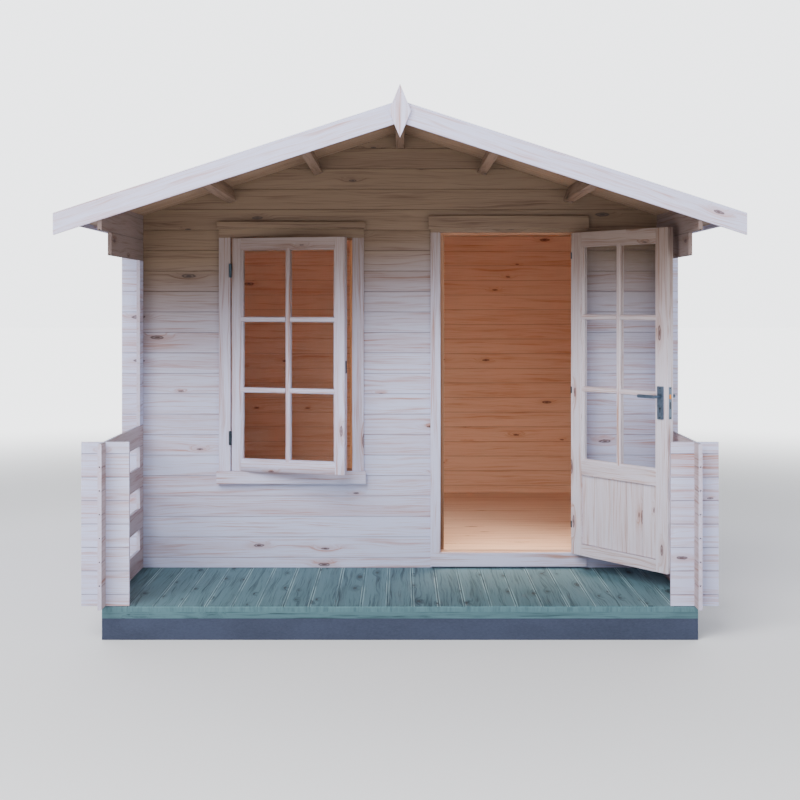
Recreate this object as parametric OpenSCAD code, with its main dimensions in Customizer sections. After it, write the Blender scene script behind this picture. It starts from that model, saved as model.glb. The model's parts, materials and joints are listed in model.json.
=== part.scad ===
// Log cabin with a front veranda: interlocking tongue-and-groove logs on a low
// base, a shallow gable roof on purlins, a half-glazed door and a casement window.

/* [Logs] */
// Cover height of one log
log_h = 114; // [104:1:118]
// Thickness of a log
log_t = 19; // [17:0.5:24]
// Length of a log end past the wall that it crosses
log_end = 100; // [70:1:120]
// Width of the tongue along the top of a log
tongue_w = 6; // [4:0.5:8]
// Height of the tongue along the top of a log
tongue_h = 6; // [5:0.5:9]
// Bevel along the edges of a log
log_bevel = 2; // [1:0.25:3]

/* [Plan] */
// Width over the outer faces of the side walls
cabin_w = 2900; // [2800:10:3200]
// Depth over the outer faces of the front and rear walls
cabin_d = 3200; // [2600:10:3800]

/* [Veranda] */
// From the front wall to the front of the veranda's corner returns
veranda_d = 1020; // [920:5:1060]
// Number of log courses in the veranda rails, counting the open ones
rail_courses = 7; // [5:2:9]
// Length of a corner return inside the rail
return_in = 114; // [80:1:200]
// Reach of the lower eaves log in front of the front wall
lower_reach = 880; // [600:5:980]

/* [Base and floor] */
// Height of the base above the ground
base_h = 105; // [60:1:160]
// Height of the bearers between the base and the floor
bearer_h = 32; // [18:1:45]
// Width of a bearer
bearer_w = 70; // [45:1:100]
// Number of bearers under the cabin floor
floor_bearer_count = 7; // [5:1:9]
// Number of bearers under the veranda deck
deck_bearer_count = 4; // [3:1:6]
// Thickness of the floor and of the deck
board_t = 28; // [18:1:30]
// Radius of the rounded front edge of the deck
nosing_r = 10; // [4:1:16]

/* [Roof] */
// Pitch of the roof in degrees
pitch = 18; // [15:0.5:22]
// Extra height of the eaves log, at the wall's outer face
eaves_rise = 18; // [10:1:30]
// Thickness of the roof boards
roof_t = 16; // [12:1:22]
// Reach of the roof boards in front of the front wall
roof_front = 1120; // [1080:5:1300]
// Reach of the roof boards behind the rear wall
roof_rear = 200; // [120:5:300]
// Reach of the roof boards past a side wall
eaves_reach = 198; // [150:1:240]
// Thickness of an eaves fascia
fascia_t = 12; // [10:1:24]
// Height of an eaves fascia
fascia_h = 36; // [30:1:60]
// Width of a bargeboard, across its length
barge_w = 100; // [90:1:130]
// Thickness of a bargeboard
barge_t = 19; // [16:1:28]
// Width of a purlin
purlin_w = 45; // [36:1:60]
// Depth of a side purlin
purlin_h = 82; // [60:1:90]
// Depth of the ridge purlin
ridge_purlin_h = 90; // [70:1:110]
// Width of a gable finial
finial_w = 105; // [80:1:130]
// Height of a gable finial
finial_h = 256; // [200:1:300]
// Thickness of a gable finial
finial_t = 19; // [12:1:24]

/* [Door] */
// Centre of the door, right of the middle of the front wall
door_x = 604; // [590:2:640]
// Width of the door leaf
door_w = 748; // [700:2:780]
// Height of the door leaf
door_h = 1772; // [1740:2:1776]
// Foot of the door leaf above the floor
door_foot = 90; // [84:1:96]
// Room between the rail and the free edge of the open door
door_rail_room = 33.5; // [20:0.5:120]
// Running gap round the door leaf
door_gap = 5; // [5:0.5:8]
// Width of the door's stiles
door_stile_w = 85; // [70:1:100]
// Height of the door's top rail
door_top_rail = 70; // [60:1:100]
// Height of the door's middle rail
door_mid_rail = 77; // [60:1:110]
// Height of the door's bottom rail
door_bottom_rail = 61; // [50:1:140]
// Middle rail above the foot of the leaf
door_mid_z = 442; // [350:2:600]
// Thickness of the door's lower panel
panel_t = 16; // [12:1:22]
// Width of the frame's face beside the door
door_jamb_face = 55; // [45:1:70]
// Height of the frame's face over the door
door_head_face = 78; // [60:1:90]
// Height of the threshold's front face
door_sill_face = 76; // [50:1:80]

/* [Window] */
// Centre of the window, left of the middle of the front wall
window_x = 604; // [580:2:640]
// Width of the window sash
window_w = 668; // [620:2:700]
// Height of the window sash
window_h = 1292; // [1240:2:1300]
// Foot of the window sash above the floor
window_foot = 542; // [530:1:550]
// Angle at which the sash stands open, in degrees from closed
window_open = 18; // [0:0.5:60]
// Gap round the window sash
window_gap = 4; // [3:0.5:6]
// Width of the sash's stiles
window_stile_w = 55; // [40:1:65]
// Height of the sash's rails
window_rail_h = 58; // [45:1:70]
// Width of the frame's face beside the sash
window_jamb_face = 65; // [50:1:75]
// Height of the frame's face over the sash
window_head_face = 72; // [60:1:78]
// Height of the frame's face under the sash
window_sill_face = 60; // [50:1:70]
// Height of the sill board
sill_board_h = 69; // [50:1:76]
// How far the sill board stands out from the frame
sill_board_t = 22; // [12:1:30]

/* [Frames and leaves] */
// How far the frames stand out from the wall
frame_proud = 20; // [16:1:30]
// Thickness of the door leaf and of the sash
leaf_t = 40; // [34:1:44]
// Overlap of the stop beside the door leaf
stop_lap = 15; // [8:1:18]
// Overlap of the stop over and under the door leaf
level_lap = 7; // [5:1:12]
// Overlap of the stop on the window sash
sash_lap = 8; // [5:1:12]
// Thickness of the frame's stop
stop_t = 20; // [14:1:28]
// Thickness of the glass
glass_t = 4; // [3:0.5:6]
// Depth of the grooves that hold the glass and the panel
groove_d = 8; // [6:1:12]
// Height of a head board over the door or the window
head_board_h = 75; // [36:1:84]
// Height of the head board over the window
window_board_h = 36; // [30:1:60]
// How far a head board stands out from the frame
head_board_t = 12; // [8:1:18]
// Length of a head or sill board past the frame, at each end
board_lug = 11; // [4:1:20]

/* [Hinges and handle] */
// Radius of a hinge barrel
barrel_r = 8; // [6:0.5:9]
// Height of a hinge
hinge_h = 74; // [60:2:90]
// Radius of a hinge pin
pin_r = 4; // [3:0.5:5]
// Width of a hinge flap
flap_w = 26; // [20:1:34]
// Thickness of a hinge flap
flap_t = 2; // [1.5:0.25:2.5]
// End hinges of the door, from the ends of the leaf
door_hinge_inset = 144; // [100:2:250]
// Hinges of the window, from the ends of the sash
window_hinge_inset = 181; // [120:1:250]
// Width of a handle plate
plate_w = 42; // [36:1:50]
// Height of a handle plate
plate_h = 170; // [150:2:220]
// Thickness of a handle plate
plate_t = 8; // [6:0.5:10]
// Middle of a handle plate above the foot of the leaf
plate_z = 872; // [800:2:960]
// Spindle above the middle of the plate
spindle_up = 32; // [20:1:50]
// Middle of the handle from the free edge of the leaf
backset = 47; // [42:1:50]
// Radius of the spindle
spindle_r = 4; // [3:0.5:5]
// Radius of a lever's neck
neck_r = 8; // [7:0.5:10]
// Length of a lever's neck
neck_l = 46; // [36:1:56]
// Length of a lever from its spindle
lever_l = 112; // [90:1:130]
// Height of a lever's grip
grip_h = 18; // [14:1:22]
// Thickness of a lever's grip
grip_t = 11; // [8:1:14]
// Width of the lock's edge plate
lock_w = 20; // [16:1:24]
// Height of the lock's edge plate
lock_h = 165; // [140:5:200]
// Thickness of the lock's edge plate
lock_t = 3; // [2:0.5:4]

/* [Hidden] */
$fn = 48;

// Clearance between pieces that seat on each other
fit = 0.3;
// Radial play of a pin or a spindle in its bore
play = 0.05;
// Overrun of the cuts
over = 30;
// Solid wood between the leaf's rebate and the log ends: door sides, head and threshold
door_jamb_web = 25;
door_head_web = 14;
door_sill_web = 28;
// The same round the window: sides, head and sill
window_jamb_web = 35;
window_head_web = 43;
window_sill_web = 25;
// Foot of a head board over the top of its leaf: door and window
door_board_rise = 23;
window_board_rise = 56;
// Top of the sill board under the foot of the sash
sill_board_drop = 1;
// Radius of the corners of a handle plate
plate_corner_r = 6;
// Places of the side purlins, as shares of the half width of the cabin
purlin_shares = [0.331, 0.662];
// Places of the hinges along the leaf, as shares of the stretch between the end hinges
door_hinge_shares = [0, 0.5, 1];
window_hinge_shares = [0, 1];

// Colours
timber = "#cfc8cc";
shaded_timber = "#8a7562";
floor_timber = "#c99a72";
treated_timber = "#6f9096";
concrete = "#5d667e";
metal = "#73848f";
glass_tint = [0.8, 0.9, 0.95, 0.3];

// Plan lines: the side walls' faces and middles, and the walls from front to back
x_out = cabin_w / 2;
x_in = x_out - log_t;
x_mid = x_out - log_t / 2;
x_end = x_out + log_end;
roof_l = roof_front + cabin_d + roof_rear;
y_roof = -roof_l / 2;
y_front = y_roof + roof_front;
y_rear = y_front + cabin_d;
y_front_mid = y_front + log_t / 2;
y_rear_mid = y_rear - log_t / 2;
y_return = y_front - veranda_d;
y_return_mid = y_return + log_t / 2;
y_rail = y_return - log_end;

// Levels: the floor, the eaves and the ridge on the underside of the roof boards
z_floor = base_h + bearer_h + board_t;
half_h = log_h / 2;
notch_h = log_h / 4;
door_head_top = door_foot + door_h + door_gap + door_head_web;
window_head_top = window_foot + window_h + window_gap + window_head_web;
eaves_courses = ceil(max(door_head_top, window_head_top) / log_h);
rise = tan(pitch);
roof_v = roof_t / cos(pitch);
barge_v = barge_w / cos(pitch);
z_eaves = z_floor + eaves_courses * log_h + eaves_rise;
z_ridge = z_eaves + x_out * rise;
x_boards = x_out + eaves_reach;
x_barge = x_boards + fascia_t;

// The course lines: front and rear logs start half a log above the side logs
function front_z(k) = z_floor + half_h + k * log_h;
function side_z(j) = z_floor + j * log_h;
function roof_z(x) = z_ridge - abs(x) * rise;
gable_courses = ceil((z_ridge - front_z(0)) / log_h);
gable_first = floor((z_eaves - front_z(0)) / log_h);

// Leaves: edges in the closed position, and the hinge axes
door_left = door_x - door_w / 2;
door_right = door_x + door_w / 2;
door_z = z_floor + door_foot;
window_left = -window_x - window_w / 2;
window_right = -window_x + window_w / 2;
window_z = z_floor + window_foot;
axis_off = door_gap;
y_leaf = y_front - frame_proud;
y_axis = y_leaf - barrel_r;
door_axis_x = door_right + axis_off;
window_axis_x = window_left - axis_off;
knuckle_h = (hinge_h - fit) / 2;
door_reach = norm([axis_off + door_w, barrel_r]);
door_lean = atan(barrel_r / (axis_off + door_w));
door_open = door_lean + acos(-(x_in - door_rail_room - door_axis_x) / door_reach);

// Runs a drawing in X and Z along Y, from y0 to y1
module along_y(y0, y1) {
    translate([0, y1, 0]) rotate([90, 0, 0]) linear_extrude(y1 - y0) children();
}

// A copy on the other side of the cabin
module on_left() {
    mirror([1, 0, 0]) children();
}

// Section of a log: bevelled edges, a tongue on top and a groove below
module log_section(h, tongue, groove) {
    side = log_t / 2;
    lip = side - log_bevel;
    peg = tongue_w / 2;
    slot = peg + fit;
    slot_h = tongue_h + fit;
    polygon(concat(
        [[-lip, 0]],
        groove ? [[-slot, 0], [-slot, slot_h], [slot, slot_h], [slot, 0]] : [],
        [[lip, 0], [side, log_bevel], [side, h - log_bevel], [lip, h]],
        tongue ? [[peg, h], [peg, h + tongue_h], [-peg, h + tongue_h], [-peg, h]] : [],
        [[-lip, h], [-side, h - log_bevel], [-side, log_bevel]]
    ));
}

// A log that runs across the cabin
module log_x(x0, x1, y, z, h, tongue = true, groove = true) {
    translate([x0, y, z]) rotate([90, 0, 90]) linear_extrude(x1 - x0) log_section(h, tongue, groove);
}

// A log that runs from front to back
module log_y(y0, y1, x, z, h, tongue = true, groove = true) {
    translate([x, 0, z]) along_y(y0, y1) log_section(h, tongue, groove);
}

// A notch right through a log where another log crosses it
module notch(x, y, z0, z1) {
    wide = log_t + 2 * fit;
    translate([x - wide / 2, y - wide / 2, z0]) cube([wide, wide, z1 - z0]);
}

// The notch under a log, and the notch over it
module under_notch(x, y, z) {
    notch(x, y, z - over, z + notch_h + fit / 2);
}

module over_notch(x, y, z, h) {
    notch(x, y, z + h - notch_h - fit / 2, z + h + tongue_h + over);
}

module log_notches(x, y, z) {
    under_notch(x, y, z);
    over_notch(x, y, z, log_h);
}

// Everything below the roof boards
module under_roof() {
    reach = x_end + over;
    along_y(y_roof, y_roof + roof_l) polygon([
        [-reach, 0], [reach, 0],
        [reach, roof_z(reach) - fit], [0, z_ridge - fit], [-reach, roof_z(reach) - fit]
    ]);
}

// One log of the front or rear wall, notched for the side walls and cut to the roof
module cross_log(y, k) {
    z = front_z(k);
    difference() {
        if (z + log_h + tongue_h > roof_z(x_end) - fit) intersection() {
            log_x(-x_end, x_end, y, z, log_h - fit);
            under_roof();
        }
        else log_x(-x_end, x_end, y, z, log_h - fit);
        for (x = [-x_mid, x_mid]) log_notches(x, y, z);
        if (k >= gable_first) purlin_run(fit);
    }
}

// The half log that starts a front or rear wall, or a corner return
module foot_log(x0, x1, y, crossings) {
    difference() {
        log_x(x0, x1, y, z_floor, half_h - fit, groove = false);
        for (x = crossings) over_notch(x, y, z_floor, half_h);
    }
}

// The hole in the front wall round a leaf, with the wood of its frame
module frame_hole(x0, x1, z, h, gap, side_web, head_web, sill_web) {
    side = gap + side_web + fit;
    foot = gap + sill_web + fit;
    translate([x0 - side, y_front - over, z - foot])
        cube([x1 - x0 + 2 * side, log_t + 2 * over, h + foot + gap + head_web + fit]);
}

module wall_holes() {
    frame_hole(door_left, door_right, door_z, door_h, door_gap,
        door_jamb_web, door_head_web, door_sill_web);
    frame_hole(window_left, window_right, window_z, window_h, window_gap,
        window_jamb_web, window_head_web, window_sill_web);
}

module front_wall_logs() {
    color(timber) difference() {
        union() {
            foot_log(-x_end, x_end, y_front_mid, [-x_mid, x_mid]);
            for (k = [0 : gable_first - 1]) cross_log(y_front_mid, k);
        }
        wall_holes();
    }
}

module front_gable_logs() {
    color(timber) difference() {
        for (k = [gable_first : gable_courses - 1]) cross_log(y_front_mid, k);
        wall_holes();
    }
}

module rear_wall_logs() {
    color(timber) {
        foot_log(-x_end, x_end, y_rear_mid, [-x_mid, x_mid]);
        for (k = [0 : gable_first - 1]) cross_log(y_rear_mid, k);
    }
}

module rear_gable_logs() {
    color(timber) for (k = [gable_first : gable_courses - 1]) cross_log(y_rear_mid, k);
}

// One log of the right side wall, from y0 to its rear end
module side_log(j, y0) {
    z = side_z(j);
    difference() {
        log_y(y0, y_rear + log_end, x_mid, z, log_h - fit, groove = j > 0);
        for (y = [y_front_mid, y_rear_mid]) log_notches(x_mid, y, z);
        children();
    }
}

module side_wall_logs() {
    color(timber) for (j = [rail_courses : eaves_courses - 3]) side_log(j, y_front - log_end);
}

// Strips the tongue from a rail over the veranda, where no log sits on it
module bare_rail_top(z) {
    translate([x_in, y_rail - over, z + log_h - fit])
        cube([log_t, veranda_d + over, tongue_h + over]);
}

// The side logs that run on as veranda rails, with short logs in the open courses
module rail_logs() {
    color(timber) for (j = [0 : rail_courses - 1]) {
        z = side_z(j);
        if (j % 2 == 0) side_log(j, y_rail) {
            log_notches(x_mid, y_return_mid, z);
            bare_rail_top(z);
        }
        else {
            side_log(j, y_front - log_end);
            difference() {
                log_y(y_rail, y_return + log_t + log_end, x_mid, z, log_h - fit, tongue = false);
                log_notches(x_mid, y_return_mid, z);
            }
        }
    }
}

// Section of the top side log, with its upper edge cut to the roof
module eaves_section(z) {
    intersection() {
        log_section(z_ridge - z, false, true);
        polygon([
            [-log_t, 0], [log_t, 0],
            [log_t, roof_z(x_mid + log_t) - fit - z], [-log_t, roof_z(x_mid - log_t) - fit - z]
        ]);
    }
}

// The two top side logs, stepped out over the veranda to carry the roof
module eaves_logs() {
    z = side_z(eaves_courses - 1);
    color(timber) {
        side_log(eaves_courses - 2, y_front - lower_reach);
        difference() {
            translate([x_mid, 0, z]) along_y(y_roof, y_roof + roof_l) eaves_section(z);
            for (y = [y_front_mid, y_rear_mid]) {
                under_notch(x_mid, y, z);
                notch(x_mid, y, z + log_h - notch_h - fit / 2, z_ridge);
            }
        }
    }
}

// The short wall that turns the veranda's front corner
module return_logs() {
    x0 = x_in - return_in;
    z_top = front_z(rail_courses - 1);
    color(timber) {
        foot_log(x0, x_end, y_return_mid, [x_mid]);
        for (k = [0 : rail_courses - 2]) difference() {
            log_x(x0, x_end, y_return_mid, front_z(k), log_h - fit);
            log_notches(x_mid, y_return_mid, front_z(k));
        }
        difference() {
            log_x(x0, x_end, y_return_mid, z_top, half_h - fit, tongue = false);
            under_notch(x_mid, y_return_mid, z_top);
        }
    }
}

// The base carries the walls and the veranda
module base() {
    color(concrete) translate([-x_out, y_return, 0]) cube([cabin_w, y_rear - y_return, base_h]);
}

module floor_bearers() {
    step = (cabin_w - bearer_w) / (floor_bearer_count - 1);
    color(treated_timber) for (i = [0 : floor_bearer_count - 1])
        translate([-x_out + i * step, y_front, base_h]) cube([bearer_w, cabin_d, bearer_h]);
}

module deck_bearers() {
    step = (veranda_d - bearer_w - fit) / (deck_bearer_count - 1);
    color(treated_timber) for (i = [0 : deck_bearer_count - 1])
        translate([-x_out, y_return + i * step, base_h]) cube([cabin_w, bearer_w, bearer_h]);
}

module cabin_floor() {
    color(floor_timber) translate([-x_out, y_front, base_h + bearer_h]) cube([cabin_w, cabin_d, board_t]);
}

// Section of the deck from front to back, with its rounded front edge
module deck_section() {
    difference() {
        square([veranda_d - fit, board_t]);
        translate([0, board_t - nosing_r]) difference() {
            translate([-over, 0]) square([over + nosing_r, nosing_r + over]);
            translate([nosing_r, 0]) circle(nosing_r);
        }
    }
}

module veranda_deck() {
    color(treated_timber) translate([-x_out, y_return, base_h + bearer_h])
        rotate([90, 0, 90]) linear_extrude(cabin_w) deck_section();
}

// A strip in X and Z that follows the right slope, from its top line down
module slope_strip(x0, x1, top, depth) {
    polygon([
        [x0, roof_z(x0) + top - depth], [x1, roof_z(x1) + top - depth],
        [x1, roof_z(x1) + top], [x0, roof_z(x0) + top]
    ]);
}

module roof_half() {
    color(shaded_timber) along_y(y_roof, y_roof + roof_l)
        slope_strip(fit / 2, x_boards, roof_v, roof_v);
}

// The ridge purlin and the side purlins in section, grown by a clearance for their slots
module ridge_section(grow) {
    side = purlin_w / 2 + grow;
    foot = z_ridge - ridge_purlin_h - grow;
    top = grow - fit;
    polygon([
        [-side, foot], [side, foot],
        [side, roof_z(side) + top], [0, z_ridge + top], [-side, roof_z(side) + top]
    ]);
}

module purlin_section(share, grow) {
    x = x_out * share;
    translate([x, roof_z(x)]) rotate(-pitch)
        translate([-purlin_w / 2 - grow, -purlin_h - fit - grow])
            square([purlin_w + 2 * grow, purlin_h + 2 * grow]);
}

module purlin_half(grow) {
    for (share = purlin_shares) purlin_section(share, grow);
}

module purlin_run(grow) {
    along_y(y_roof, y_roof + roof_l) {
        ridge_section(grow);
        purlin_half(grow);
        mirror([1, 0]) purlin_half(grow);
    }
}

module ridge_purlin() {
    color(shaded_timber) along_y(y_roof, y_roof + roof_l) ridge_section(0);
}

module side_purlins() {
    color(shaded_timber) along_y(y_roof, y_roof + roof_l) purlin_half(0);
}

// The pair of bargeboards on the front gable
module bargeboards() {
    color(timber) along_y(y_roof - barge_t, y_roof) for (flip = [0, 1])
        mirror([flip, 0]) slope_strip(fit / 2, x_barge, roof_v, barge_v);
}

// The diamond that covers the joint of the bargeboards
module finial() {
    z = z_ridge + roof_v - barge_v / 2;
    y = y_roof - barge_t;
    color(timber) along_y(y - finial_t, y) translate([0, z]) polygon([
        [0, -finial_h / 2], [finial_w / 2, 0], [0, finial_h / 2], [-finial_w / 2, 0]
    ]);
}

module gable_finials() {
    finial();
    mirror([0, 1, 0]) finial();
}

module fascia() {
    z = roof_z(x_boards + fascia_t) + roof_v;
    color(timber) along_y(y_roof, y_roof + roof_l)
        translate([x_boards, z - fascia_h]) square([fascia_t, fascia_h]);
}

module eaves_fascias() {
    fascia();
    on_left() fascia();
}

// Section of a frame member as [out from the leaf's edge, in from the wall's face]:
// a face board, a channel that takes the log ends, and a rebate with a stop for the leaf
function frame_points(gap, web, face, lap) = let (
    front = -frame_proud,
    inner = leaf_t + gap - frame_proud,
    back = inner + stop_t,
    channel = gap + web,
    edge = gap + face
) [
    [gap, front], [edge, front], [edge, -fit], [channel, -fit],
    [channel, log_t + fit], [edge, log_t + fit], [edge, back],
    [-lap, back], [-lap, inner], [gap, inner]
];

// A level frame member over (up = 1) or under (up = -1) a leaf, with room for the log ends
module level_member(x0, x1, z, up, points, lug) {
    difference() {
        translate([x0, y_front, z]) rotate([90, 0, 90]) linear_extrude(x1 - x0)
            polygon([for (p = points) [p[1], up * p[0]]]);
        for (x = [x0 - over, x1 - lug]) translate([x, y_front - fit, z - log_h])
            cube([lug + over, log_t + 2 * fit, 2 * log_h]);
    }
}

// The pair of upright members beside a leaf
module upright_members(x0, x1, z, h, gap, points) {
    translate([x1, y_front, z - gap]) linear_extrude(h + 2 * gap) polygon(points);
    translate([x0, y_front, z - gap]) mirror([1, 0, 0]) linear_extrude(h + 2 * gap) polygon(points);
}

module door_head() {
    edge = door_gap + door_jamb_face;
    color(timber) level_member(door_left - edge, door_right + edge, door_z + door_h, 1,
        frame_points(door_gap, door_head_web, door_head_face, level_lap), door_jamb_face - door_jamb_web);
}

module door_threshold() {
    edge = door_gap + door_jamb_face;
    color(timber) level_member(door_left - edge, door_right + edge, door_z, -1,
        frame_points(door_gap, door_sill_web, door_sill_face, level_lap), door_jamb_face - door_jamb_web);
}

module door_jambs() {
    color(timber) difference() {
        upright_members(door_left, door_right, door_z, door_h, door_gap,
            frame_points(door_gap, door_jamb_web, door_jamb_face, stop_lap));
        door_head();
        door_threshold();
    }
}

module window_head() {
    edge = window_gap + window_jamb_face;
    color(timber) level_member(window_left - edge, window_right + edge, window_z + window_h, 1,
        frame_points(window_gap, window_head_web, window_head_face, sash_lap),
        window_jamb_face - window_jamb_web);
}

module window_sill() {
    edge = window_gap + window_jamb_face;
    color(timber) level_member(window_left - edge, window_right + edge, window_z, -1,
        frame_points(window_gap, window_sill_web, window_sill_face, sash_lap),
        window_jamb_face - window_jamb_web);
}

module window_jambs() {
    color(timber) difference() {
        upright_members(window_left, window_right, window_z, window_h, window_gap,
            frame_points(window_gap, window_jamb_web, window_jamb_face, sash_lap));
        window_head();
        window_sill();
    }
}

// A board planted on the face of a frame
module planted_board(x0, x1, z, h, thick) {
    translate([x0, y_leaf - thick, z]) cube([x1 - x0, thick, h]);
}

module head_boards() {
    door_edge = door_gap + door_jamb_face + board_lug;
    window_edge = window_gap + window_jamb_face + board_lug;
    color(timber) {
        planted_board(door_left - door_edge, door_right + door_edge,
            door_z + door_h + door_board_rise, head_board_h, head_board_t);
        planted_board(window_left - window_edge, window_right + window_edge,
            window_z + window_h + window_board_rise, window_board_h, head_board_t);
    }
}

module window_sill_board() {
    edge = window_gap + window_jamb_face + board_lug;
    color(timber) planted_board(window_left - edge, window_right + edge,
        window_z - sill_board_drop - sill_board_h, sill_board_h, sill_board_t);
}

// Places a leaf drawn from its hinge axis: the leaf runs along +X, its outer face at +Y
module in_window() {
    translate([window_axis_x, y_axis, window_z]) rotate([0, 0, -window_open]) children();
}

module in_door() {
    translate([door_axis_x, y_axis, door_z]) rotate([0, 0, door_open]) mirror([1, 0, 0]) children();
}

// A sheet in the middle of a leaf's thickness, grown by a clearance for its groove
module leaf_sheet(x0, x1, z0, z1, thick, grow) {
    translate([x0 - grow, barrel_r + (leaf_t - thick) / 2 - grow, z0 - grow])
        cube([x1 - x0 + 2 * grow, thick + 2 * grow, z1 - z0 + 2 * grow]);
}

// The two stiles of a leaf
module leaf_stiles(w, h, stile) {
    for (x = [axis_off, axis_off + w - stile]) translate([x, barrel_r, 0]) cube([stile, leaf_t, h]);
}

// A rail between the stiles of a leaf
module leaf_rail(w, stile, z, h) {
    translate([axis_off + stile + fit, barrel_r, z]) cube([w - 2 * stile - 2 * fit, leaf_t, h]);
}

module window_glass_sheet(grow) {
    inset = window_stile_w - groove_d;
    foot = window_rail_h - groove_d;
    leaf_sheet(axis_off + inset, axis_off + window_w - inset, foot, window_h - foot, glass_t, grow);
}

module window_sash() {
    color(timber) in_window() difference() {
        union() {
            leaf_stiles(window_w, window_h, window_stile_w);
            leaf_rail(window_w, window_stile_w, 0, window_rail_h);
            leaf_rail(window_w, window_stile_w, window_h - window_rail_h, window_rail_h);
        }
        window_glass_sheet(fit);
    }
}

module window_glass() {
    color(glass_tint) in_window() window_glass_sheet(0);
}

// The lower half of a hinge, with its pin, and its flap on the edge of the frame
module hinge_foot(z, gap) {
    translate([0, 0, z]) {
        cylinder(r = barrel_r, h = knuckle_h);
        cylinder(r = pin_r, h = hinge_h);
        translate([axis_off - gap, 0, 0]) cube([flap_t, barrel_r + flap_w, knuckle_h]);
    }
}

// The upper half of a hinge, bored for the pin, with its flap on the edge of the leaf
module hinge_top(z) {
    translate([0, 0, z + hinge_h - knuckle_h]) difference() {
        union() {
            cylinder(r = barrel_r, h = knuckle_h);
            translate([axis_off - flap_t, 0, 0]) cube([flap_t, barrel_r + flap_w, knuckle_h]);
        }
        translate([0, 0, -over]) cylinder(r = pin_r + play, h = knuckle_h + 2 * over);
    }
}

function hinge_places(h, inset, shares) = [
    for (share = shares) inset + share * (h - 2 * inset) - hinge_h / 2
];

module window_hinges() {
    places = hinge_places(window_h, window_hinge_inset, window_hinge_shares);
    color(metal) {
        translate([window_axis_x, y_axis, window_z]) for (z = places) hinge_foot(z, window_gap);
        in_window() for (z = places) hinge_top(z);
    }
}

module door_hinge_pins() {
    color(metal) translate([door_axis_x, y_axis, door_z]) mirror([1, 0, 0])
        for (z = hinge_places(door_h, door_hinge_inset, door_hinge_shares)) hinge_foot(z, door_gap);
}

module door_hinge_knuckles() {
    color(metal) in_door()
        for (z = hinge_places(door_h, door_hinge_inset, door_hinge_shares)) hinge_top(z);
}

module door_glass_sheet(grow) {
    inset = door_stile_w - groove_d;
    leaf_sheet(axis_off + inset, axis_off + door_w - inset,
        door_mid_z + door_mid_rail - groove_d, door_h - door_top_rail + groove_d, glass_t, grow);
}

module door_panel_sheet(grow) {
    inset = door_stile_w - groove_d;
    leaf_sheet(axis_off + inset, axis_off + door_w - inset,
        door_bottom_rail - groove_d, door_mid_z + groove_d, panel_t, grow);
}

// Places the handle: the spindle's line, seen from the leaf's outer face
module at_spindle() {
    translate([axis_off + door_w - backset, barrel_r, plate_z + spindle_up]) children();
}

// A round bar along the leaf's thickness, from y0 to y1
module cross_bar(r, y0, y1) {
    translate([0, y1, 0]) rotate([90, 0, 0]) cylinder(r = r, h = y1 - y0);
}

// The recess for the lock's plate in the free edge of the leaf
module lock_sheet(grow) {
    translate([axis_off + door_w - lock_t - grow, barrel_r + (leaf_t - lock_w) / 2 - grow,
        plate_z - lock_h / 2 - grow])
        cube([lock_t + (grow > 0 ? over : 0), lock_w + 2 * grow, lock_h + 2 * grow]);
}

module door_leaf() {
    color(timber) in_door() difference() {
        union() {
            leaf_stiles(door_w, door_h, door_stile_w);
            leaf_rail(door_w, door_stile_w, 0, door_bottom_rail);
            leaf_rail(door_w, door_stile_w, door_mid_z, door_mid_rail);
            leaf_rail(door_w, door_stile_w, door_h - door_top_rail, door_top_rail);
        }
        door_glass_sheet(fit);
        door_panel_sheet(fit);
        lock_sheet(fit);
        at_spindle() cross_bar(spindle_r + play, -over, leaf_t + over);
    }
}

module door_panel() {
    color(timber) in_door() door_panel_sheet(0);
}

module door_glass() {
    color(glass_tint) in_door() door_glass_sheet(0);
}

module door_lock_plate() {
    color(metal) in_door() lock_sheet(0);
}

// A rounded plate with a hole for the spindle, standing on y0
module handle_plate(y0) {
    translate([0, y0 + plate_t, 0]) rotate([90, 0, 0]) linear_extrude(plate_t) difference() {
        translate([-plate_w / 2, -spindle_up - plate_h / 2]) rounded_sheet(plate_w, plate_h, plate_corner_r);
        circle(spindle_r + play);
    }
}

// A rectangle with round corners
module rounded_sheet(w, h, r) {
    translate([r, 0]) square([w - 2 * r, h]);
    translate([0, r]) square([w, h - 2 * r]);
    for (x = [r, w - r]) for (y = [r, h - r]) translate([x, y]) circle(r);
}

module door_handle_plates() {
    color(metal) in_door() at_spindle() {
        handle_plate(-plate_t);
        handle_plate(leaf_t);
    }
}

// A lever on its neck, drawn for the inner face and pointing to the hinges
module lever() {
    cross_bar(neck_r, 0, neck_l);
    translate([0, neck_l, 0]) rotate([90, 0, 0]) linear_extrude(grip_t) {
        circle(grip_h / 2);
        translate([-lever_l, -grip_h / 2]) square([lever_l, grip_h]);
        translate([-lever_l, 0]) circle(grip_h / 2);
    }
}

module door_levers() {
    color(metal) in_door() at_spindle() {
        translate([0, leaf_t + plate_t + fit, 0]) lever();
        translate([0, -plate_t - fit, 0]) mirror([0, 1, 0]) lever();
    }
}

module door_spindle() {
    color(metal) in_door() at_spindle() cross_bar(spindle_r, -plate_t - fit, leaf_t + plate_t + fit);
}

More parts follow.
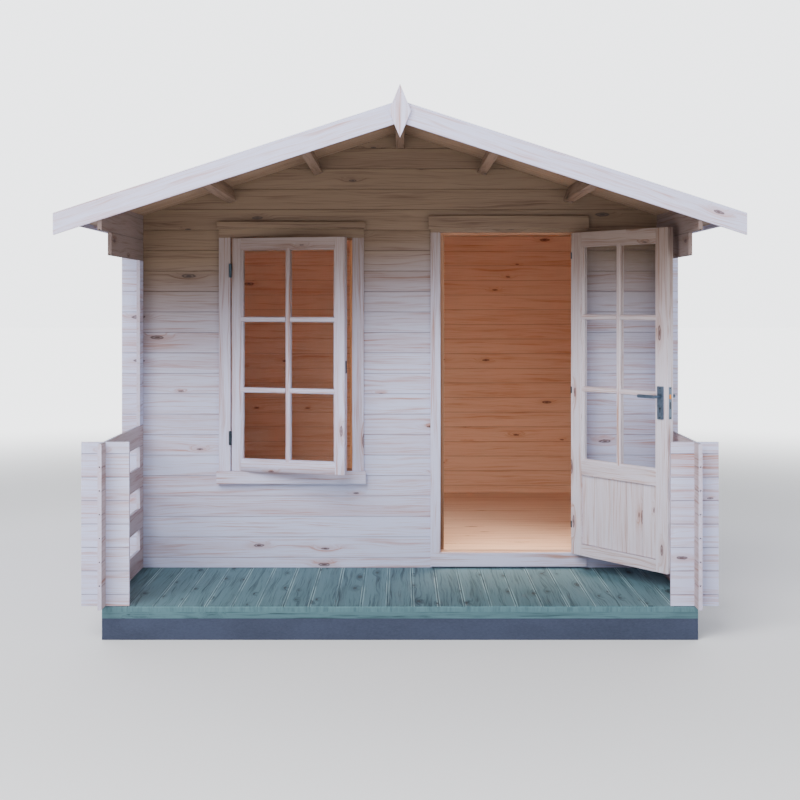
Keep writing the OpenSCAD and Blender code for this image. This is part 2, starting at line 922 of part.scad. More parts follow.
base();
floor_bearers();
deck_bearers();
cabin_floor();
veranda_deck();
front_wall_logs();
front_gable_logs();
rear_wall_logs();
rear_gable_logs();
on_left() side_wall_logs();  // left_wall_logs
side_wall_logs();  // right_wall_logs
on_left() rail_logs();  // left_rail_logs
rail_logs();  // right_rail_logs
on_left() eaves_logs();  // left_eaves_logs
eaves_logs();  // right_eaves_logs
on_left() return_logs();  // left_return_logs
return_logs();  // right_return_logs
on_left() roof_half();  // left_roof
roof_half();  // right_roof
ridge_purlin();
on_left() side_purlins();  // left_purlins
side_purlins();  // right_purlins
bargeboards();  // front_bargeboards
mirror([0, 1, 0]) bargeboards();  // rear_bargeboards
gable_finials();
eaves_fascias();
door_jambs();
door_head();
door_threshold();
head_boards();
window_jambs();
window_head();
window_sill();
window_sill_board();
window_sash();
window_glass();
window_hinges();
door_hinge_pins();
door_hinge_knuckles();
door_leaf();
door_panel();
door_glass();
door_lock_plate();
door_handle_plates();
door_levers();
door_spindle();
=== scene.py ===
"""Looks of the log cabin: boards, glazing bars, small metalwork, finishes, light and camera."""

import json
import logging
import math
from dataclasses import dataclass, replace
from enum import Enum
from typing import Any, Callable, Optional, Sequence, Union

import bmesh
import bpy
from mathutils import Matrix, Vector


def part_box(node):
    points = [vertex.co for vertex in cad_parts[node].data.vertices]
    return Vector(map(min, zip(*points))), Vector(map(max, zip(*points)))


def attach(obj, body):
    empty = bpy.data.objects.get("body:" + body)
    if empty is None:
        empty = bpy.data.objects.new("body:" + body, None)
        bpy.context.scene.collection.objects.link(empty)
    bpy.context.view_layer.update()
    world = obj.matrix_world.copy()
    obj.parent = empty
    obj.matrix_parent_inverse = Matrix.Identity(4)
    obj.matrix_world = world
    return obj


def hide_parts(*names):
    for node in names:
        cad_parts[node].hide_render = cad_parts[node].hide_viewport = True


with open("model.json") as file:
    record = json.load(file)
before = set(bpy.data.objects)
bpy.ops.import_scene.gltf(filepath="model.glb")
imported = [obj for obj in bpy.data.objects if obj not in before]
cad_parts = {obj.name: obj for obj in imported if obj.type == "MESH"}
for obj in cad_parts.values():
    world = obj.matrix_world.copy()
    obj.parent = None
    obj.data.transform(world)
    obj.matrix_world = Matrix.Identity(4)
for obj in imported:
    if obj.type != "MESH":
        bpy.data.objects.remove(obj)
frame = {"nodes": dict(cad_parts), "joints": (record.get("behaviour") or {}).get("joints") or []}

LOG = logging.getLogger("cabin")
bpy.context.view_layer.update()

Number = Union[float, "Value"]
Colour = tuple[float, float, float]
Point2 = tuple[float, float]
Point3 = tuple[float, float, float]
Shades = list[Union[Colour, "Value"]]
Spot = tuple["Value", "Value", "Value"]
Layers = tuple["Value", "Value", "Value", "Value"]
Ring = tuple[list[Point2], float]
Place = Callable[[float, float, float], Vector]


def paint(red: int, green: int, blue: int) -> Colour:
    """Turns a screen colour from 0 to 255 into the linear one that shaders use.

    Args:
        red, green, blue: The screen colour's channels.
    Returns:
        The linear colour.
    """
    def linear(c: float) -> float:
        """One channel, from 0 to 1."""
        return c / 12.92 if c <= 0.04045 else ((c + 0.055) / 1.055) ** 2.4
    return linear(red / 255), linear(green / 255), linear(blue / 255)


class Axis(Enum):
    """A direction of the cabin."""

    ACROSS = 0
    DEPTH = 1
    UP = 2


# Sizes of the cabin, in metres, as in the part's source
@dataclass(frozen=True)
class Plan:
    """The main lines of the cabin."""

    log_h: float = 0.114
    log_t: float = 0.019
    half_w: float = 1.45
    floor_z: float = 0.165
    wall_h: float = 1.956
    y_front: float = -1.14
    y_rear: float = 2.06
    y_roof: float = -2.26
    roof_l: float = 4.52
    pitch: float = math.radians(18)
    roof_t: float = 0.016
    roof_half: float = 1.648
    deck_boards: int = 23
    floor_boards: int = 32
    roof_boards: int = 48

    @property
    def z_ridge(self) -> float:
        """Underside of the roof boards at the ridge."""
        return self.floor_z + self.wall_h + self.half_w * math.tan(self.pitch)

    @property
    def roof_v(self) -> float:
        """Height of the roof boards' plumb cut."""
        return self.roof_t / math.cos(self.pitch)

    def roof_z(self, x: float) -> float:
        """Underside of the roof boards over a place across the cabin."""
        return self.z_ridge - abs(x) * math.tan(self.pitch)


PLAN = Plan()


class Value:
    """A number in a shader, for use in plain expressions."""

    def __init__(self, sheet: "Sheet", socket: bpy.types.NodeSocket) -> None:
        """Holds a socket of a shader sheet."""
        self.sheet = sheet
        self.socket = socket

    def _math(self, operation: str, a: Number, b: Number = 0.0) -> "Value":
        """Adds one Math node and gives its result."""
        return self.sheet.node("ShaderNodeMath", {"operation": operation}, {0: a, 1: b})

    def __add__(self, other: Number) -> "Value":
        """self + other."""
        return self._math("ADD", self, other)

    def __radd__(self, other: Number) -> "Value":
        """other + self."""
        return self._math("ADD", other, self)

    def __sub__(self, other: Number) -> "Value":
        """self - other."""
        return self._math("SUBTRACT", self, other)

    def __rsub__(self, other: Number) -> "Value":
        """other - self."""
        return self._math("SUBTRACT", other, self)

    def __mul__(self, other: Number) -> "Value":
        """self * other."""
        return self._math("MULTIPLY", self, other)

    def __rmul__(self, other: Number) -> "Value":
        """other * self."""
        return self._math("MULTIPLY", other, self)

    def __truediv__(self, other: Number) -> "Value":
        """self / other."""
        return self._math("DIVIDE", self, other)

    def __rtruediv__(self, other: Number) -> "Value":
        """other / self."""
        return self._math("DIVIDE", other, self)

    def __lt__(self, other: Number) -> "Value":
        """1 where self is less than other, else 0."""
        return self._math("LESS_THAN", self, other)

    def __gt__(self, other: Number) -> "Value":
        """1 where self is greater than other, else 0."""
        return self._math("GREATER_THAN", self, other)

    def __abs__(self) -> "Value":
        """The size of self without its sign."""
        return self._math("ABSOLUTE", self)

    def floor(self) -> "Value":
        """The whole number below self."""
        return self._math("FLOOR", self)

    def most(self, other: Number) -> "Value":
        """The greater of self and other."""
        return self._math("MAXIMUM", self, other)

    def part(self) -> "Value":
        """What self has over the whole number below it."""
        return self._math("FRACT", self)

    def step(self, low: float, high: float) -> "Value":
        """A smooth climb from 0 at low to 1 at high; low may lie above high.

        Args:
            low: Where it is 0.
            high: Where it is 1.
        Returns:
            The climb, from 0 to 1.
        """
        if low > high:
            return 1 - self.step(high, low)
        return self.sheet.node("ShaderNodeMapRange", {"interpolation_type": "SMOOTHSTEP"},
                               {"Value": self, "From Min": low, "From Max": high})


class Sheet:
    """The nodes of a material or of the studio's sky, with one surface shader."""

    def __init__(self, owner: Union[bpy.types.Material, bpy.types.World]) -> None:
        """Clears the owner's nodes.

        Args:
            owner: The material or the sky.
        """
        self.owner = owner
        owner.use_nodes = True
        self.tree = owner.node_tree
        self.tree.nodes.clear()
        sky = isinstance(owner, bpy.types.World)
        self.out = self.tree.nodes.new("ShaderNodeOutputWorld" if sky else "ShaderNodeOutputMaterial")
        self.place: Optional[Spot] = None

    @classmethod
    def named(cls, name: str) -> "Sheet":
        """Starts a material of that name."""
        return cls(bpy.data.materials.new(name))

    def node(self, kind: str, settings: Optional[dict] = None, values: Optional[dict] = None,
             output: Union[int, str] = 0) -> Value:
        """Adds a node.

        Args:
            kind: The node's type.
            settings: Its properties, which are set first.
            values: Numbers, colours or values for its sockets, by name or number.
            output: The socket to give back.
        Returns:
            The node's output.
        """
        made = self.tree.nodes.new(kind)
        for key, setting in (settings or {}).items():
            setattr(made, key, setting)
        for key, value in (values or {}).items():
            if isinstance(value, Value):
                self.tree.links.new(value.socket, made.inputs[key])
            elif isinstance(value, tuple) and len(value) == 3 and made.inputs[key].type == "RGBA":
                made.inputs[key].default_value = (*value, 1)
            else:
                made.inputs[key].default_value = value
        return Value(self, made.outputs[output])

    def position(self) -> Spot:
        """The place of a point on the piece, across, in depth and up.

        Returns:
            The three numbers.
        """
        if self.place is None:
            where = self.node("ShaderNodeTexCoord", output="Object")
            self.place = self.split(where)
        return self.place

    def split(self, vector: Value) -> Spot:
        """The three numbers of a vector.

        Args:
            vector: The vector.
        Returns:
            The numbers.
        """
        cut = self.node("ShaderNodeSeparateXYZ", None, {0: vector})
        outs = cut.socket.node.outputs
        return Value(self, outs[0]), Value(self, outs[1]), Value(self, outs[2])

    def vector(self, x: Number, y: Number, z: Number) -> Value:
        """A vector of three numbers."""
        return self.node("ShaderNodeCombineXYZ", None, {0: x, 1: y, 2: z})

    def noise(self, x: Number, y: Number, z: Number, detail: float = 3.0, rough: float = 0.55) -> Value:
        """Soft noise at a place, about 0.5 on average."""
        return self.node("ShaderNodeTexNoise", None, {
            "Vector": self.vector(x, y, z), "Scale": 1.0, "Detail": detail, "Roughness": rough})

    def chance(self, seed: Number) -> Value:
        """An even chance from 0 to 1 for each whole seed."""
        return self.node("ShaderNodeTexWhiteNoise", {"noise_dimensions": "1D"}, {"W": seed})

    def blend(self, share: Number, a: Union[Colour, Value], b: Union[Colour, Value]) -> Value:
        """Mixes two colours.

        Args:
            share: How much of b shows, from 0 to 1.
            a: The colour at 0.
            b: The colour at 1.
        Returns:
            The mixed colour.
        """
        return self.node("ShaderNodeMix", {"data_type": "RGBA", "clamp_factor": True},
                         {0: share, 6: a, 7: b}, 2)

    def surface(self, values: dict) -> bpy.types.Material:
        """Ends the sheet with a principled shader.

        Args:
            values: Its sockets.
        Returns:
            The material.
        """
        shader = self.node("ShaderNodeBsdfPrincipled", None, values)
        self.tree.links.new(shader.socket, self.out.inputs["Surface"])
        return self.owner

    def bump(self, height: Value, strength: float, distance: float) -> Value:
        """A normal from a height."""
        return self.node("ShaderNodeBump", None, {
            "Strength": strength, "Distance": distance, "Height": height})


@dataclass(frozen=True)
class Tone:
    """The colours of one timber: plain wood, its darker grain, and its knots."""

    plain: Colour
    grain: Colour
    knot: Colour

    def shades(self) -> Shades:
        """Plain wood, grain and knots, in that order."""
        return [self.plain, self.grain, self.knot]

    def over(self, sheet: Sheet, share: Value, under: Shades) -> Shades:
        """Lays this tone over other shades.

        Args:
            sheet: The material being made.
            share: Where this tone shows, from 0 to 1.
            under: The shades below.
        Returns:
            The mixed shades.
        """
        return [sheet.blend(share, a, b) for a, b in zip(under, self.shades())]


BLEACHED = Tone(paint(194, 198, 228), paint(172, 124, 108), paint(60, 31, 30))
# Painted shade on the rails' faces that turn inwards.
INWARD_SHADE_TONE = Tone(paint(186, 170, 176), paint(142, 98, 80), paint(52, 28, 24))
JOINERY = Tone(paint(200, 200, 228), paint(172, 130, 118), paint(80, 42, 40))
# Painted shade: a darkened copy of the warm inner tone, for the frames' inner faces.
REVEAL_SHADE_TONE = Tone(paint(148, 102, 72), paint(116, 74, 50), paint(54, 29, 20))
AMBER = Tone(paint(196, 134, 86), paint(158, 98, 58), paint(70, 36, 22))
# Painted shade of the roof overhang on the front, in brown.
ROOF_SHADE_TONE = Tone(paint(102, 79, 58), paint(72, 48, 31), paint(34, 18, 12))
# Unweathered pine under the roof, partly darkened with painted shade.
SOFFIT_PINE_AND_SHADE = Tone(paint(144, 117, 95), paint(106, 79, 60), paint(50, 30, 22))
RAFTER_PINE_AND_SHADE = Tone(paint(120, 97, 80), paint(86, 63, 48), paint(46, 28, 20))
FLOOR = Tone(paint(226, 188, 159), paint(190, 136, 104), paint(84, 46, 32))
PANELLED = Tone(paint(214, 207, 220), paint(176, 134, 118), paint(84, 44, 38))
WARM = Tone(paint(220, 178, 148), paint(190, 134, 102), paint(72, 36, 24))
TREATED = Tone(paint(78, 113, 121), paint(29, 55, 64), paint(14, 21, 26))
# Painted highlight on the deck boards' arrises.
ARRIS_HIGHLIGHT: Colour = (0.42, 0.60, 0.62)


@dataclass(frozen=True)
class Streak:
    """One layer of grain: noise drawn out along the timber.

    It has so many waves a metre along and across, turns dark between low and high, flows round
    knots, drifts with the board's sway, and adds its share to the grain.
    """

    along: float
    across: float
    detail: float = 2.0
    rough: float = 0.55
    low: float = 0.5
    high: float = 0.7
    flow: float = 0.0
    drift: float = 0.0
    share: float = 0.0

    def noise(self, sheet: Sheet, spot: Spot, bend: Optional[Value] = None) -> Value:
        """The layer at a place.

        Args:
            sheet: The material being made.
            spot: The place along, across and into the timber.
            bend: How many waves the layer is pushed across.
        Returns:
            The noise, about 0.5 on average.
        """
        u, v, w = spot
        side = v * self.across
        if bend is not None:
            side = side + bend
        return sheet.noise(u * self.along, side, w * self.across, self.detail, self.rough)

    def shade(self, noise: Value) -> Value:
        """How dark the layer makes the timber."""
        return noise.step(self.low, self.high) * self.share


RAGGED = Streak(38.0, 90.0)
SWAY = Streak(1.6, 9.0, drift=1.8)
LINES = Streak(1.7, 58.0, detail=4.0, rough=0.62, flow=1.8, drift=2.2, share=0.55)
THIN = Streak(2.6, 165.0, detail=3.0, flow=3.0, drift=5.0, share=0.42)
BROAD = Streak(0.7, 16.0, low=0.45, high=0.75, drift=40.0, share=0.3)
FIBRE = Streak(14.0, 520.0, share=0.3)


@dataclass(frozen=True)
class Knots:
    """How knots are spread over a board, each with a cell of its own, and how large they grow."""

    cells: float = 2.6
    scatter: float = 0.85
    least: float = 0.035
    growth: float = 0.07
    ragged: float = 0.06


KNOTS = Knots()


@dataclass(frozen=True)
class RoofShadeBand:
    """Where painted shade of the roof falls on the front: its band climbs from foot to top, and it starts
    higher at the middle near the door than further out.
    """

    foot: float = 1.1
    top: float = 2.1
    middle: float = 0.45
    lean: float = 0.12
    depth: float = 0.2
    past_roof: float = 0.005
    at_roof: float = 0.003
    fade: float = 0.004
    corner: float = 0.015


ROOF_SHADE_BAND = RoofShadeBand()


@dataclass(frozen=True)
class Timber:
    """A sawn softwood finish whose grain follows the pieces it is on."""

    name: str
    run: Axis
    across: Axis
    pitch: float = PLAN.log_h
    start: float = PLAN.floor_z
    tone: Tone = BLEACHED
    inner: Optional[Tone] = WARM
    upper: Optional[Tone] = None
    # Tone of painted shade on faces turned inwards.
    inward_shade: Optional[Tone] = None
    # Share of painted roof shade, from 0 to 1.
    shelter: float = 0.0
    reach: float = 2.0
    knots: float = 0.15
    seed: float = 0.0
    turn: float = 0.0
    hub: Point2 = (0.0, 0.0)
    upright: Optional[Point2] = None
    slope: bool = False
    gloss: float = 0.62
    seam: float = 0.42
    # Share of painted highlight on the boards' top arrises.
    rub: float = 0.0
    figure: float = 1.0
    streaks: float = 0.0
    row_shift: float = 23.0
    lean_seed: float = 71.0
    stile_seed: float = 17.0
    side_shift: float = 5.3
    edge: float = 0.001
    crisp: float = 0.0002
    seam_fade: Point2 = (0.0034, 0.001)
    # Where the painted highlight rises and falls away, in metres from the joint.
    highlight_start: Point2 = (0.0035, 0.005)
    highlight_end: Point2 = (0.0085, 0.0065)
    relief: float = 0.0012

    def lines(self, sheet: Sheet) -> Spot:
        """The place along the piece's own directions, for pieces that stand turned or on the slope.

        Args:
            sheet: The material being made.
        Returns:
            The place, in metres.
        """
        x, y, z = sheet.position()
        if self.turn:
            away = sheet.node("ShaderNodeVectorRotate", {"rotation_type": "Z_AXIS"}, {
                "Vector": sheet.vector(x, y, z), "Center": (*self.hub, 0.0), "Angle": -self.turn})
            x, y, z = sheet.split(away)
            return x - self.hub[0], y - self.hub[1], z
        if self.slope:
            side = abs(x)
            run, rise = math.cos(PLAN.pitch), math.sin(PLAN.pitch)
            return side * run - z * rise + (x > 0) * self.side_shift, y, side * rise + z * run
        return x, y, z

    def facing(self, sheet: Sheet) -> Spot:
        """The direction in which the surface faces."""
        return sheet.split(sheet.node("ShaderNodeTexCoord", output="Normal"))

    def indoors(self, sheet: Sheet) -> Value:
        """1 on what faces the room, 0 on the weather side.

        Args:
            sheet: The material being made.
        Returns:
            The mask.
        """
        x, y, _ = sheet.position()
        mid = PLAN.log_t / 2
        side = abs(x).step(PLAN.half_w - mid + self.edge, PLAN.half_w - mid - self.edge)
        front = y.step(PLAN.y_front + mid - self.edge, PLAN.y_front + mid + self.edge)
        rear = y.step(PLAN.y_rear - mid + self.edge, PLAN.y_rear - mid - self.edge)
        return side * front * rear

    def sheltered(self, sheet: Sheet) -> Value:
        """Where painted shade of the roof falls on the front.

        Args:
            sheet: The material being made.
        Returns:
            The share of painted shade.
        """
        x, y, z = sheet.position()
        # Painted shade: it climbs with height, starts lower further from the middle, and fades out beyond
        # the roof's front edge, behind the front wall and past the reach.
        shade_level = (z + abs(x - ROOF_SHADE_BAND.middle) * ROOF_SHADE_BAND.lean).step(ROOF_SHADE_BAND.foot, ROOF_SHADE_BAND.top) * self.shelter
        shade_level = shade_level * y.step(PLAN.y_roof - ROOF_SHADE_BAND.past_roof, PLAN.y_roof - ROOF_SHADE_BAND.at_roof)
        shade_level = shade_level * y.step(PLAN.y_front + ROOF_SHADE_BAND.depth, PLAN.y_front)
        return shade_level * abs(x).step(self.reach + ROOF_SHADE_BAND.fade, self.reach)

    def knotted(self, sheet: Sheet, spot: Spot) -> tuple[Value, Value]:
        """The knots, and the grain that flows round them.

        Args:
            sheet: The material being made.
            spot: The place along, across and into the timber.
        Returns:
            The share of knot, and the share of disturbed grain about it.
        """
        u, v, _ = spot
        width = min(self.pitch, PLAN.log_h)
        cell = sheet.node("ShaderNodeTexVoronoi", {"voronoi_dimensions": "2D"}, {
            "Vector": sheet.vector(u * KNOTS.cells, (v - self.start) / width, 0.0), "Scale": 1.0,
            "Randomness": KNOTS.scatter}, "Distance")
        pick, girth, fill = sheet.split(Value(sheet, cell.socket.node.outputs["Color"]))
        kept = pick > (1 - self.knots)
        ragged = RAGGED.noise(sheet, spot) - 0.5
        # The distance from the knot's heart, in radii of the knot
        ring = (cell + ragged * KNOTS.ragged) / (girth * girth * KNOTS.growth + KNOTS.least)
        rim = ring.step(0.55, 0.85) * ring.step(1.25, 0.95)
        body = ring.step(1.05, 0.75) * (fill * 0.3 + 0.4)
        core = ring.step(0.75, 0.3) * 0.9
        knot = (rim * 0.8).most(body).most(core) * kept
        halo = ring.step(5.5, 0.8) * cell.step(0.36, 0.16) * kept
        return knot, halo

    def layers(self, sheet: Sheet, run: Axis, across: Axis, seed: float) -> Layers:
        """The grain, the knots, the height and the joints of a stretch of boards.

        Args:
            sheet: The material being made.
            run: The direction of the grain.
            across: The direction in which one board follows the next.
            seed: Sets this stretch apart from others.
        Returns:
            The share of dark grain, the share of knot, a height for the bump, and the distance
            from the nearest joint in metres.
        """
        place = self.lines(sheet)
        other = (set(Axis) - {run, across}).pop()
        u, v, w = place[run.value], place[across.value], place[other.value]
        count = (v - self.start) / self.pitch
        row = count.floor()
        luck = sheet.chance(row + seed)
        lean = sheet.chance(row + (seed + self.lean_seed))
        spot = (u + luck * self.row_shift, v, w)
        knot, halo = self.knotted(sheet, spot)
        sway = SWAY.noise(sheet, spot, lean * SWAY.across) * SWAY.drift
        lines = LINES.noise(sheet, spot, halo * LINES.flow + sway * LINES.drift)
        thin = THIN.noise(sheet, spot, halo * THIN.flow + sway * THIN.drift)
        fibre = FIBRE.noise(sheet, spot)
        broad = BROAD.noise(sheet, spot, lean * BROAD.drift)
        dark = LINES.shade(lines) + THIN.shade(thin) + BROAD.shade(broad)
        dark = dark + halo * 0.3 + (fibre - 0.5) * FIBRE.share + (luck - 0.5) * 0.2
        height = lines * 0.4 + thin * 0.3 + fibre * 0.3 - knot * 0.3
        joint = (0.5 - abs(count.part() - 0.5)) * self.pitch
        return dark, knot, height, joint

    def framed(self, sheet: Sheet) -> Layers:
        """The layers of the whole piece, with upright grain on its stiles where it has them.

        Args:
            sheet: The material being made.
        Returns:
            The same as layers gives.
        """
        level = self.layers(sheet, self.run, self.across, self.seed)
        if self.upright is None:
            return level
        place = abs(self.lines(sheet)[0])
        near, far = self.upright
        stile = (place - near).step(self.crisp, -self.crisp)
        stile = stile.most((place - far).step(-self.crisp, self.crisp))
        stiles = self.layers(sheet, Axis.UP, Axis.ACROSS, self.seed + self.stile_seed)
        dark, knot, height, joint = (a * (1 - stile) + b * stile for a, b in zip(level, stiles))
        return dark, knot, height, joint

    def end_fibres(self, sheet: Sheet) -> Value:
        """Short upright streaks on the sawn ends of the boards."""
        x, y, z = sheet.position()
        return sheet.noise(x * 70.0, y * 30.0, z * 9.0, 4.0, 0.7).step(0.35, 0.85) * self.streaks

    def arris_highlights(self, sheet: Sheet, joint: Value) -> Value:
        """A painted highlight on the top arrises of the boards, broken into patches.

        Args:
            sheet: The material being made.
            joint: The distance from the nearest joint.
        Returns:
            The share of painted highlight.
        """
        x, y, z = sheet.position()
        # Painted highlight in two bands beside each joint, broken by noise, on upward faces only.
        worn = joint.step(*self.highlight_start) * joint.step(*self.highlight_end)
        worn = worn * sheet.noise(x * 9.0, y * 2.5, z * 9.0, 2.0).step(0.3, 0.62) * self.rub
        return worn * self.facing(sheet)[2].step(0.5, 0.9)

    def shades(self, sheet: Sheet) -> Shades:
        """The colours of wood, grain and knots: painted shade under the roof and on faces turned inwards,
        the inner tone indoors, and the upper tone on faces turned to the sky.

        Args:
            sheet: The material being made.
        Returns:
            The shades.
        """
        shades = self.tone.shades()
        # Painted shade under the roof.
        if self.shelter:
            shades = ROOF_SHADE_TONE.over(sheet, self.sheltered(sheet), shades)
        # Painted shade on faces that turn in towards the middle.
        if self.inward_shade is not None:
            away = (self.facing(sheet)[0] * sheet.position()[0]).step(-0.3, -0.6)
            shades = self.inward_shade.over(sheet, away, shades)
        if self.inner is not None:
            shades = self.inner.over(sheet, self.indoors(sheet), shades)
        # Faces turned to the sky take the upper tone; only the roof has one, and the tone beneath it is
        # partly painted shade.
        if self.upper is not None:
            skyward = self.facing(sheet)[2].step(-0.05, 0.05)
            shades = self.upper.over(sheet, skyward, shades)
        return shades

    def material(self) -> bpy.types.Material:
        """Makes the finish.

        Returns:
            The material.
        """
        sheet = Sheet.named(self.name)
        dark, knot, height, joint = self.framed(sheet)
        line = joint.step(*self.seam_fade) * self.seam
        if not (self.turn or self.slope):
            # Sawn ends show no knots and no joints
            sawn = abs(self.facing(sheet)[self.run.value]).step(0.75, 0.85)
            dark = dark * (1 - sawn * 0.6) + sawn * 0.25
            knot = knot * (1 - sawn)
            line = line * (1 - sawn)
            if self.streaks:
                dark = dark * (1 - sawn) + sawn * self.end_fibres(sheet)
        plain, grain, heart = self.shades(sheet)
        colour = sheet.blend(dark * self.figure, plain, grain)
        # Painted highlight on the top arrises.
        if self.rub:
            colour = sheet.blend(self.arris_highlights(sheet, joint), colour, ARRIS_HIGHLIGHT)
        colour = sheet.blend(knot.most(line), colour, heart)
        return sheet.surface({
            "Base Color": colour, "Roughness": dark * 0.12 + self.gloss,
            "Normal": sheet.bump(height, 0.35, self.relief)})


@dataclass(frozen=True)
class Slab:
    """A cast grey finish with fine pores and faint cloudy stains."""

    name: str = "base_slab"
    plain: Colour = paint(56, 64, 86)
    stain: Colour = paint(44, 51, 70)
    stains: float = 3.0
    pores: float = 70.0
    layers: float = 150.0
    relief: float = 0.002

    def material(self) -> bpy.types.Material:
        """Makes the finish.

        Returns:
            The material.
        """
        sheet = Sheet.named(self.name)
        x, y, z = sheet.position()
        cloud = sheet.noise(x * self.stains, y * self.stains, z * (2 * self.stains), 4.0)
        pore = sheet.noise(x * self.pores, y * self.pores, z * self.layers, 4.0, 0.7)
        share = cloud.step(0.3, 0.75) * 0.6 + (pore - 0.5) * 1.6
        return sheet.surface({
            "Base Color": sheet.blend(share, self.plain, self.stain), "Roughness": pore * 0.2 + 0.75,
            "Normal": sheet.bump(pore, 0.3, self.relief)})


@dataclass(frozen=True)
class Metal:
    """A brushed metal with fine scratches and dull patches."""

    name: str
    colour: Colour
    worn: Colour
    gloss: float = 0.36
    scratches: float = 900.0
    stretch: float = 30.0
    patches: float = 60.0
    relief: float = 0.0004

    def material(self) -> bpy.types.Material:
        """Makes the finish.

        Returns:
            The material.
        """
        sheet = Sheet.named(self.name)
        x, y, z = sheet.position()
        brush = sheet.noise(x * self.scratches, y * self.scratches, z * self.stretch, 2.0)
        patch = sheet.noise(x * self.patches, y * self.patches, z * self.patches)
        share = patch.step(0.4, 0.7) * 0.6 + (brush - 0.5) * 0.4
        return sheet.surface({
            "Base Color": sheet.blend(share, self.colour, self.worn), "Metallic": 0.85,
            "Roughness": brush * 0.14 + self.gloss, "Normal": sheet.bump(brush, 0.08, self.relief)})


@dataclass(frozen=True)
class Pane:
    """Clear glass with a faint film of dust."""

    name: str = "clear_pane"
    dust: Colour = paint(80, 84, 86)
    smears: float = 5.0

    def material(self) -> bpy.types.Material:
        """Makes the finish.

        Returns:
            The material.
        """
        sheet = Sheet.named(self.name)
        x, y, z = sheet.position()
        film = sheet.noise(x * self.smears, y * self.smears, z * self.smears)
        return sheet.surface({
            "Base Color": self.dust, "Roughness": film * 0.05 + 0.01, "IOR": 1.45,
            "Alpha": film.step(0.35, 0.8) * 0.02 + 0.03})


class Carpentry:
    """A mesh under construction, made of bevelled bars and boards."""

    def __init__(self) -> None:
        """Starts an empty mesh."""
        self.mesh = bmesh.new()

    def loft(self, rings: Sequence[Sequence[Vector]]) -> None:
        """Joins closed rings of points into a solid.

        Args:
            rings: The rings from one end to the other, with equal numbers of points.
        """
        made = [[self.mesh.verts.new(p) for p in ring] for ring in rings]
        count = len(made[0])
        for a, b in zip(made, made[1:]):
            for i in range(count):
                self.mesh.faces.new((a[i], a[(i + 1) % count], b[(i + 1) % count], b[i]))
        self.mesh.faces.new(made[0][::-1])
        self.mesh.faces.new(made[-1])

    def rise(self, rings: Sequence[Ring], place: Place) -> None:
        """Joins outlines that follow one another into a solid.

        Args:
            rings: The outlines, each with its distance along the run.
            place: Gives the place of an outline's point at a distance along the run.
        """
        self.loft([[place(a, b, t) for a, b in outline] for outline, t in rings])

    def bar(self, outline: list[Point2], length: float, place: Place, nose: float = 0.0) -> None:
        """Runs an outline along a length.

        Args:
            outline: Points of the section.
            length: How far it runs.
            place: Gives the place of a section point at a distance along the run.
            nose: Size of the small bevel at both ends.
        """
        if not nose:
            self.rise([(outline, 0.0), (outline, length)], place)
            return
        cx = sum(a for a, _ in outline) / len(outline)
        cy = sum(b for _, b in outline) / len(outline)
        wide = 1 - nose / max(abs(a - cx) for a, _ in outline)
        high = 1 - nose / max(abs(b - cy) for _, b in outline)
        small = [(cx + (a - cx) * wide, cy + (b - cy) * high) for a, b in outline]
        self.rise([(small, 0.0), (outline, nose), (outline, length - nose), (small, length)], place)

    def piece(self, name: str, body: str, finish: bpy.types.Material, slot: str, *stands_for: str,
              smooth: bool = False) -> bpy.types.Object:
        """Ends the mesh as a piece of the cabin.

        Args:
            name: The piece's name.
            body: The body it rides on.
            finish: Its material.
            slot: The record's slot; not used.
            stands_for: The nodes that it replaces.
            smooth: Whether round faces are shaded smooth.
        Returns:
            The piece.
        """
        bmesh.ops.recalc_face_normals(self.mesh, faces=self.mesh.faces)
        data = bpy.data.meshes.new(name)
        self.mesh.to_mesh(data)
        self.mesh.free()
        data.materials.append(finish)
        made = bpy.data.objects.new(name, data)
        bpy.context.scene.collection.objects.link(made)
        if smooth:
            data.shade_smooth()
            data.set_sharp_from_angle(angle=math.radians(35))
        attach(made, body)
        if stands_for:
            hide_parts(*stands_for)
        LOG.info("%s rides on %s", name, body)
        return made


ROUND_SHARE = 0.3
BEAD_SHARES = ((0, 0), (1, 0), (1, 1 / 3), (3 / 4, 11 / 12), (0, 1))


def board_outline(wide: float, thick: float, top: float, foot: float = 0.0) -> list[Point2]:
    """A board's section, from its lower corner.

    Args:
        wide: The board's width.
        thick: Its thickness.
        top: The size of its rounded upper arrises.
        foot: The size of its lower bevels.
    Returns:
        The section's points.
    """
    rise = [(0, thick - top), (top * ROUND_SHARE, thick - top * ROUND_SHARE), (top, thick)]
    far = [(wide - a, b) for a, b in reversed(rise)]
    low = [(wide, foot), (wide - foot, 0), (foot, 0), (0, foot)] if foot else [(wide, 0), (0, 0)]
    return [*rise, *far, *low]


def disc(radius: float, count: int = 20) -> list[Point2]:
    """Points of a circle."""
    turns = [2 * math.pi * i / count for i in range(count)]
    return [(radius * math.cos(turn), radius * math.sin(turn)) for turn in turns]


def taper(foot: float, top: float, high: float) -> list[Point2]:
    """Corners of a shape that narrows from its foot to its top, about its middle."""
    return [(-foot / 2, -high / 2), (foot / 2, -high / 2), (top / 2, high / 2), (-top / 2, high / 2)]


def coat(node: str, finish: bpy.types.Material) -> None:
    """Gives a solid of the frame its finish.

    Args:
        node: The solid's node.
        finish: Its material.
    """
    data = frame["nodes"][node].data
    data.materials.clear()
    data.materials.append(finish)
    LOG.info("%s takes %s", node, finish.name)


